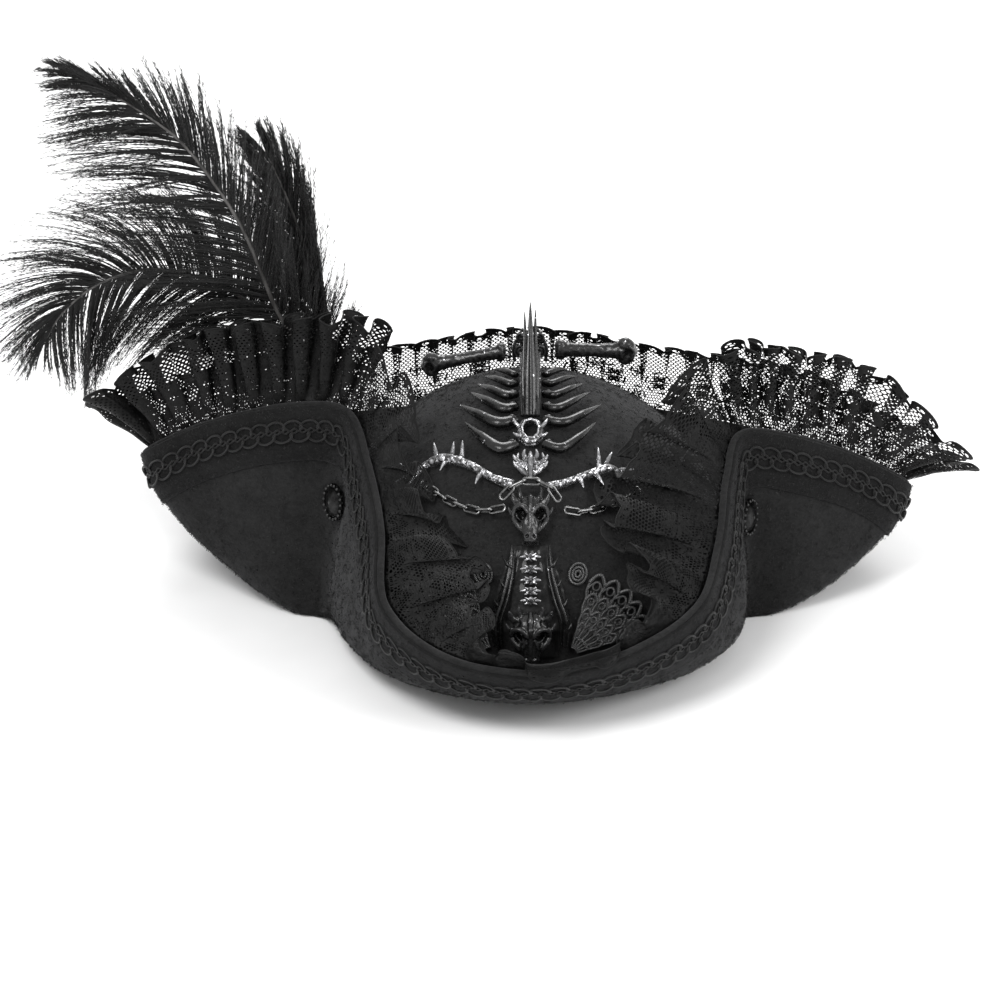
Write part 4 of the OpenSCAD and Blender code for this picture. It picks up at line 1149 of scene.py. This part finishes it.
def arms():
    """Two thorned branches across the crown, knotted along their length."""
    left = ([(-7.4, -61, 2.8), (-16, -56, 3), (-25, -47.5, 3.2), (-36, -39.5, 3.4), (-46, -39, 3),
             (-56, -36.5, 2.6)],
            [2.5, 1.7, 1.9, 2.3, 1.5, 0.4],
            [(-28, -45, -27, -35), (-38, -39.5, -38.5, -30), (-44, -39, -49, -46), (-20, -53, -22, -59),
             (-50, -38, -52, -31), (-32, -42, -30.5, -34), (-34, -41, -36, -47)])
    right = ([(7.4, -62, 2.8), (15, -58.5, 3), (24, -52.5, 3.2), (32, -47, 3.4), (39, -47, 2.8)],
             [2.5, 1.7, 1.8, 2.2, 0.5],
             [(28, -49.5, 27, -39), (34, -47, 42, -43), (20, -55.5, 21, -61), (30, -48, 32.5, -39),
              (26, -51, 29, -57)])
    for label, (points, radii, thorns) in (("left", left), ("right", right)):
        shape = Shape()
        points = np.array(points, float)
        line = on_top(points[:, 0], points[:, 1], points[:, 2])
        smooth_tube(shape, line, radii, 7, 14)
        t = np.linspace(0, len(points) - 1, 26)
        knots = along(line, t)
        for k in range(26):
            size = np.interp(t[k], np.arange(len(radii)), radii) * (0.55 + 0.35 * (k % 2))
            shape.ball(knots[k] + [0, 0.8 * (-1) ** k * size, size * 0.55], (size * 0.7,) * 3, 12, 8)
        for x0, y0, x1, y1 in thorns:
            a, b = on_top(x0, y0, 2.6), on_top(x1, y1, 5.2)
            smooth_tube(shape, [a, (a + b) / 2 + [0, 0, 0.7], b], [1.4, 0.9, 0.2], 4, 10)
        cast("cast_arm_" + label, shape, SILVERED, ["arm_" + label], "cast_silvered", 0.28, 2)


def plate_and_bones():
    halves = [11, 14, 14.6, 13.4, 10.4, 7.2]
    t = np.linspace(0, 5, 40)
    half = along(np.array(halves)[:, None], t)[:, 0]
    across = np.linspace(-1, 1, 30)
    z = dome(0.0, np.radians(6 + 31 * t / 5))[:, 2]
    x = half[:, None] * across[None, :]
    ridges = 0.35 * np.abs(np.sin(9 * across))[None, :] + 0.25 * np.sin(7 * t)[:, None]
    top = on_front(x, z[:, None] + 0 * x, 1.7 + ridges * (1 - across[None, :] ** 6))
    bottom = on_front(x, z[:, None] + 0 * x, 0.4)
    plate = Shape().grid(top).grid(bottom[:, ::-1])
    for low, high in ((top[0], bottom[0]), (bottom[-1], top[-1]), (bottom[:, 0], top[:, 0]),
                      (top[:, -1], bottom[:, -1])):
        plate.grid(np.stack([low, high]))
    plate.stand_for(["backing_plate"], "cast_backing_plate", PLATE, "cast_black")
    for label, a, b, r in (("left", (-45, 45, 76), (-11.5, 45, 82.6), 4.0),
                           ("right", (44, 45, 82.8), (12, 45, 83.5), 4.5)):
        a, b = np.array(a, float), np.array(b, float)
        d = unit(b - a)
        lobe = np.array([0, 0, r * 0.62])
        shape = Shape()
        smooth_tube(shape, [a, a + d * 7, a + d * 16, b - d * 6, b],
                    [r * 0.95, r * 0.8, r * 0.62, r * 0.68, r * 0.8])
        for way in (-1, 1):
            shape.ball(a + d * r * 0.75 + way * lobe, (r * 0.8, r * 0.72, r * 0.74), 24, 16)
            shape.ball(b - d * 1.0 + way * lobe * 0.7, (r * 0.6,) * 3, 20, 12)
        groove = [(a + d * 2 + [0, -r, 0], r * 0.7, 1.4, (0, 1, 0))]
        cast("cast_bone_" + label, shape, CAST, ["bone_" + label], voxel=0.4, dents=groove, grain=0.2)
    leaf = Shape()
    for way in (-1, 1):
        for cx, cy, size in ((3.9, 5, 2.9), (3.8, 11.6, 2.1)):
            a = np.linspace(0, 3.4 * np.pi, 40)
            r = size * (1 - 0.24 * a / np.pi)
            scroll = np.stack([way * (cx + r * np.sin(a)), cy + r * np.cos(a), 1.6 + 0 * a], axis=1)
            leaf.tube(scroll, 0.62, 8)
        stem = [(way * 6.6, 0.8, 0.9), (way * 7, 7, 1.1), (way * 4.6, 12.6, 1.1), (way * 3.2, 16, 1.0)]
        smooth_tube(leaf, stem, [0.8, 0.8, 0.7, 0.25])
        smooth_tube(leaf, [(way * 3.4, 15.8, 1.0), (way * 1.6, 13.4, 1.2), (0, 15.6, 1.0)], [0.3, 0.7, 0.3])
    leaf.ball((0, 7, 0.7), (5.6, 6.8, 0.75), 28, 10)
    cast("cast_filigree", leaf, CAST, ["filigree_centre"], voxel=0.28, soften=1, grain=0.05,
         place=lambda p: np.stack([p[:, 0], 47.5 - p[:, 2], 77 + p[:, 1]], axis=1))


def ornament():
    skulls()
    neck()
    spikes_and_tusks()
    ribs_and_spine()
    crest()
    arms()
    plate_and_bones()


# ---------- carried-over pieces ----------
FINISHES = {
    CHAIN: ["chain_left", "chain_right", "jump_rings", "chain_wrap"],
    BUTTON: ["button_left", "button_right"],
    THREAD: ["tack_left", "tack_right"],
    WIRE: ["brim_wire"],
    FELT: ["quill_sockets"],
}


def finishes():
    for material, nodes in FINISHES.items():
        for node in nodes:
            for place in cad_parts[node].material_slots:
                place.material = material


# ---------- scene ----------
def area_light(name, place, aim, size, power):
    data = bpy.data.lights.new(name, "AREA")
    data.shape, data.size, data.energy = "DISK", size, power
    lamp = bpy.data.objects.new(name, data)
    lamp.location = place
    lamp.rotation_euler = (Vector(aim) - Vector(place)).to_track_quat("-Z", "Y").to_euler()
    bpy.context.scene.collection.objects.link(lamp)


def studio():
    scene = bpy.context.scene
    rise = math.radians(25)
    aim = Vector((-0.0128, 0.0129, 0.0278))
    distance = 6.0
    data = bpy.data.cameras.new("camera")
    data.sensor_width = 36
    data.lens = 36 * distance / 0.4255
    data.clip_end = 60
    camera = bpy.data.objects.new("camera", data)
    back = Vector((0, -math.cos(rise), math.sin(rise)))
    camera.location = aim + back * distance
    camera.rotation_euler = (-back).to_track_quat("-Z", "Y").to_euler()
    scene.collection.objects.link(camera)
    scene.camera = camera
    scene.view_settings.view_transform = "Standard"
    world = bpy.data.worlds.new("world")
    scene.world = world
    world.use_nodes = True
    world.node_tree.nodes["Background"].inputs[0].default_value = (0.95, 0.95, 0.95, 1)
    world.node_tree.nodes["Background"].inputs[1].default_value = 0.9
    area_light("key", (-0.5, -0.9, 1.3), (0, 0, 0.05), 0.7, 16)
    area_light("fill", (1.1, -0.7, 0.8), (0, 0, 0.05), 0.7, 9)
    area_light("rim", (0.2, 1.2, 1.1), (0, 0, 0.05), 0.8, 12)
    bottom = cad_box[0][2] - 0.0008
    floor = Shape()
    a = circle(64)[None, :]
    r = np.array([0.001, 1500.0, 4000.0])[:, None]
    rings = np.broadcast_arrays(r * np.cos(a), r * np.sin(a), bottom / MM + 0 * r)
    floor.grid(np.stack(rings, axis=-1), True)
    m = Nodes("floor_paper")
    m.set(colour=m.ramp(m.noise(30, 2), 0.3, 0.7, grey(0.90), grey(0.93)), rough=0.9)
    floor.piece("floor", m.material, "felt")


felt_crown()
felt_brim()
hem_band()
braid()
all_lace()
applique(-1)
applique(1)
all_plumes()
inside()
ornament()
finishes()
studio()
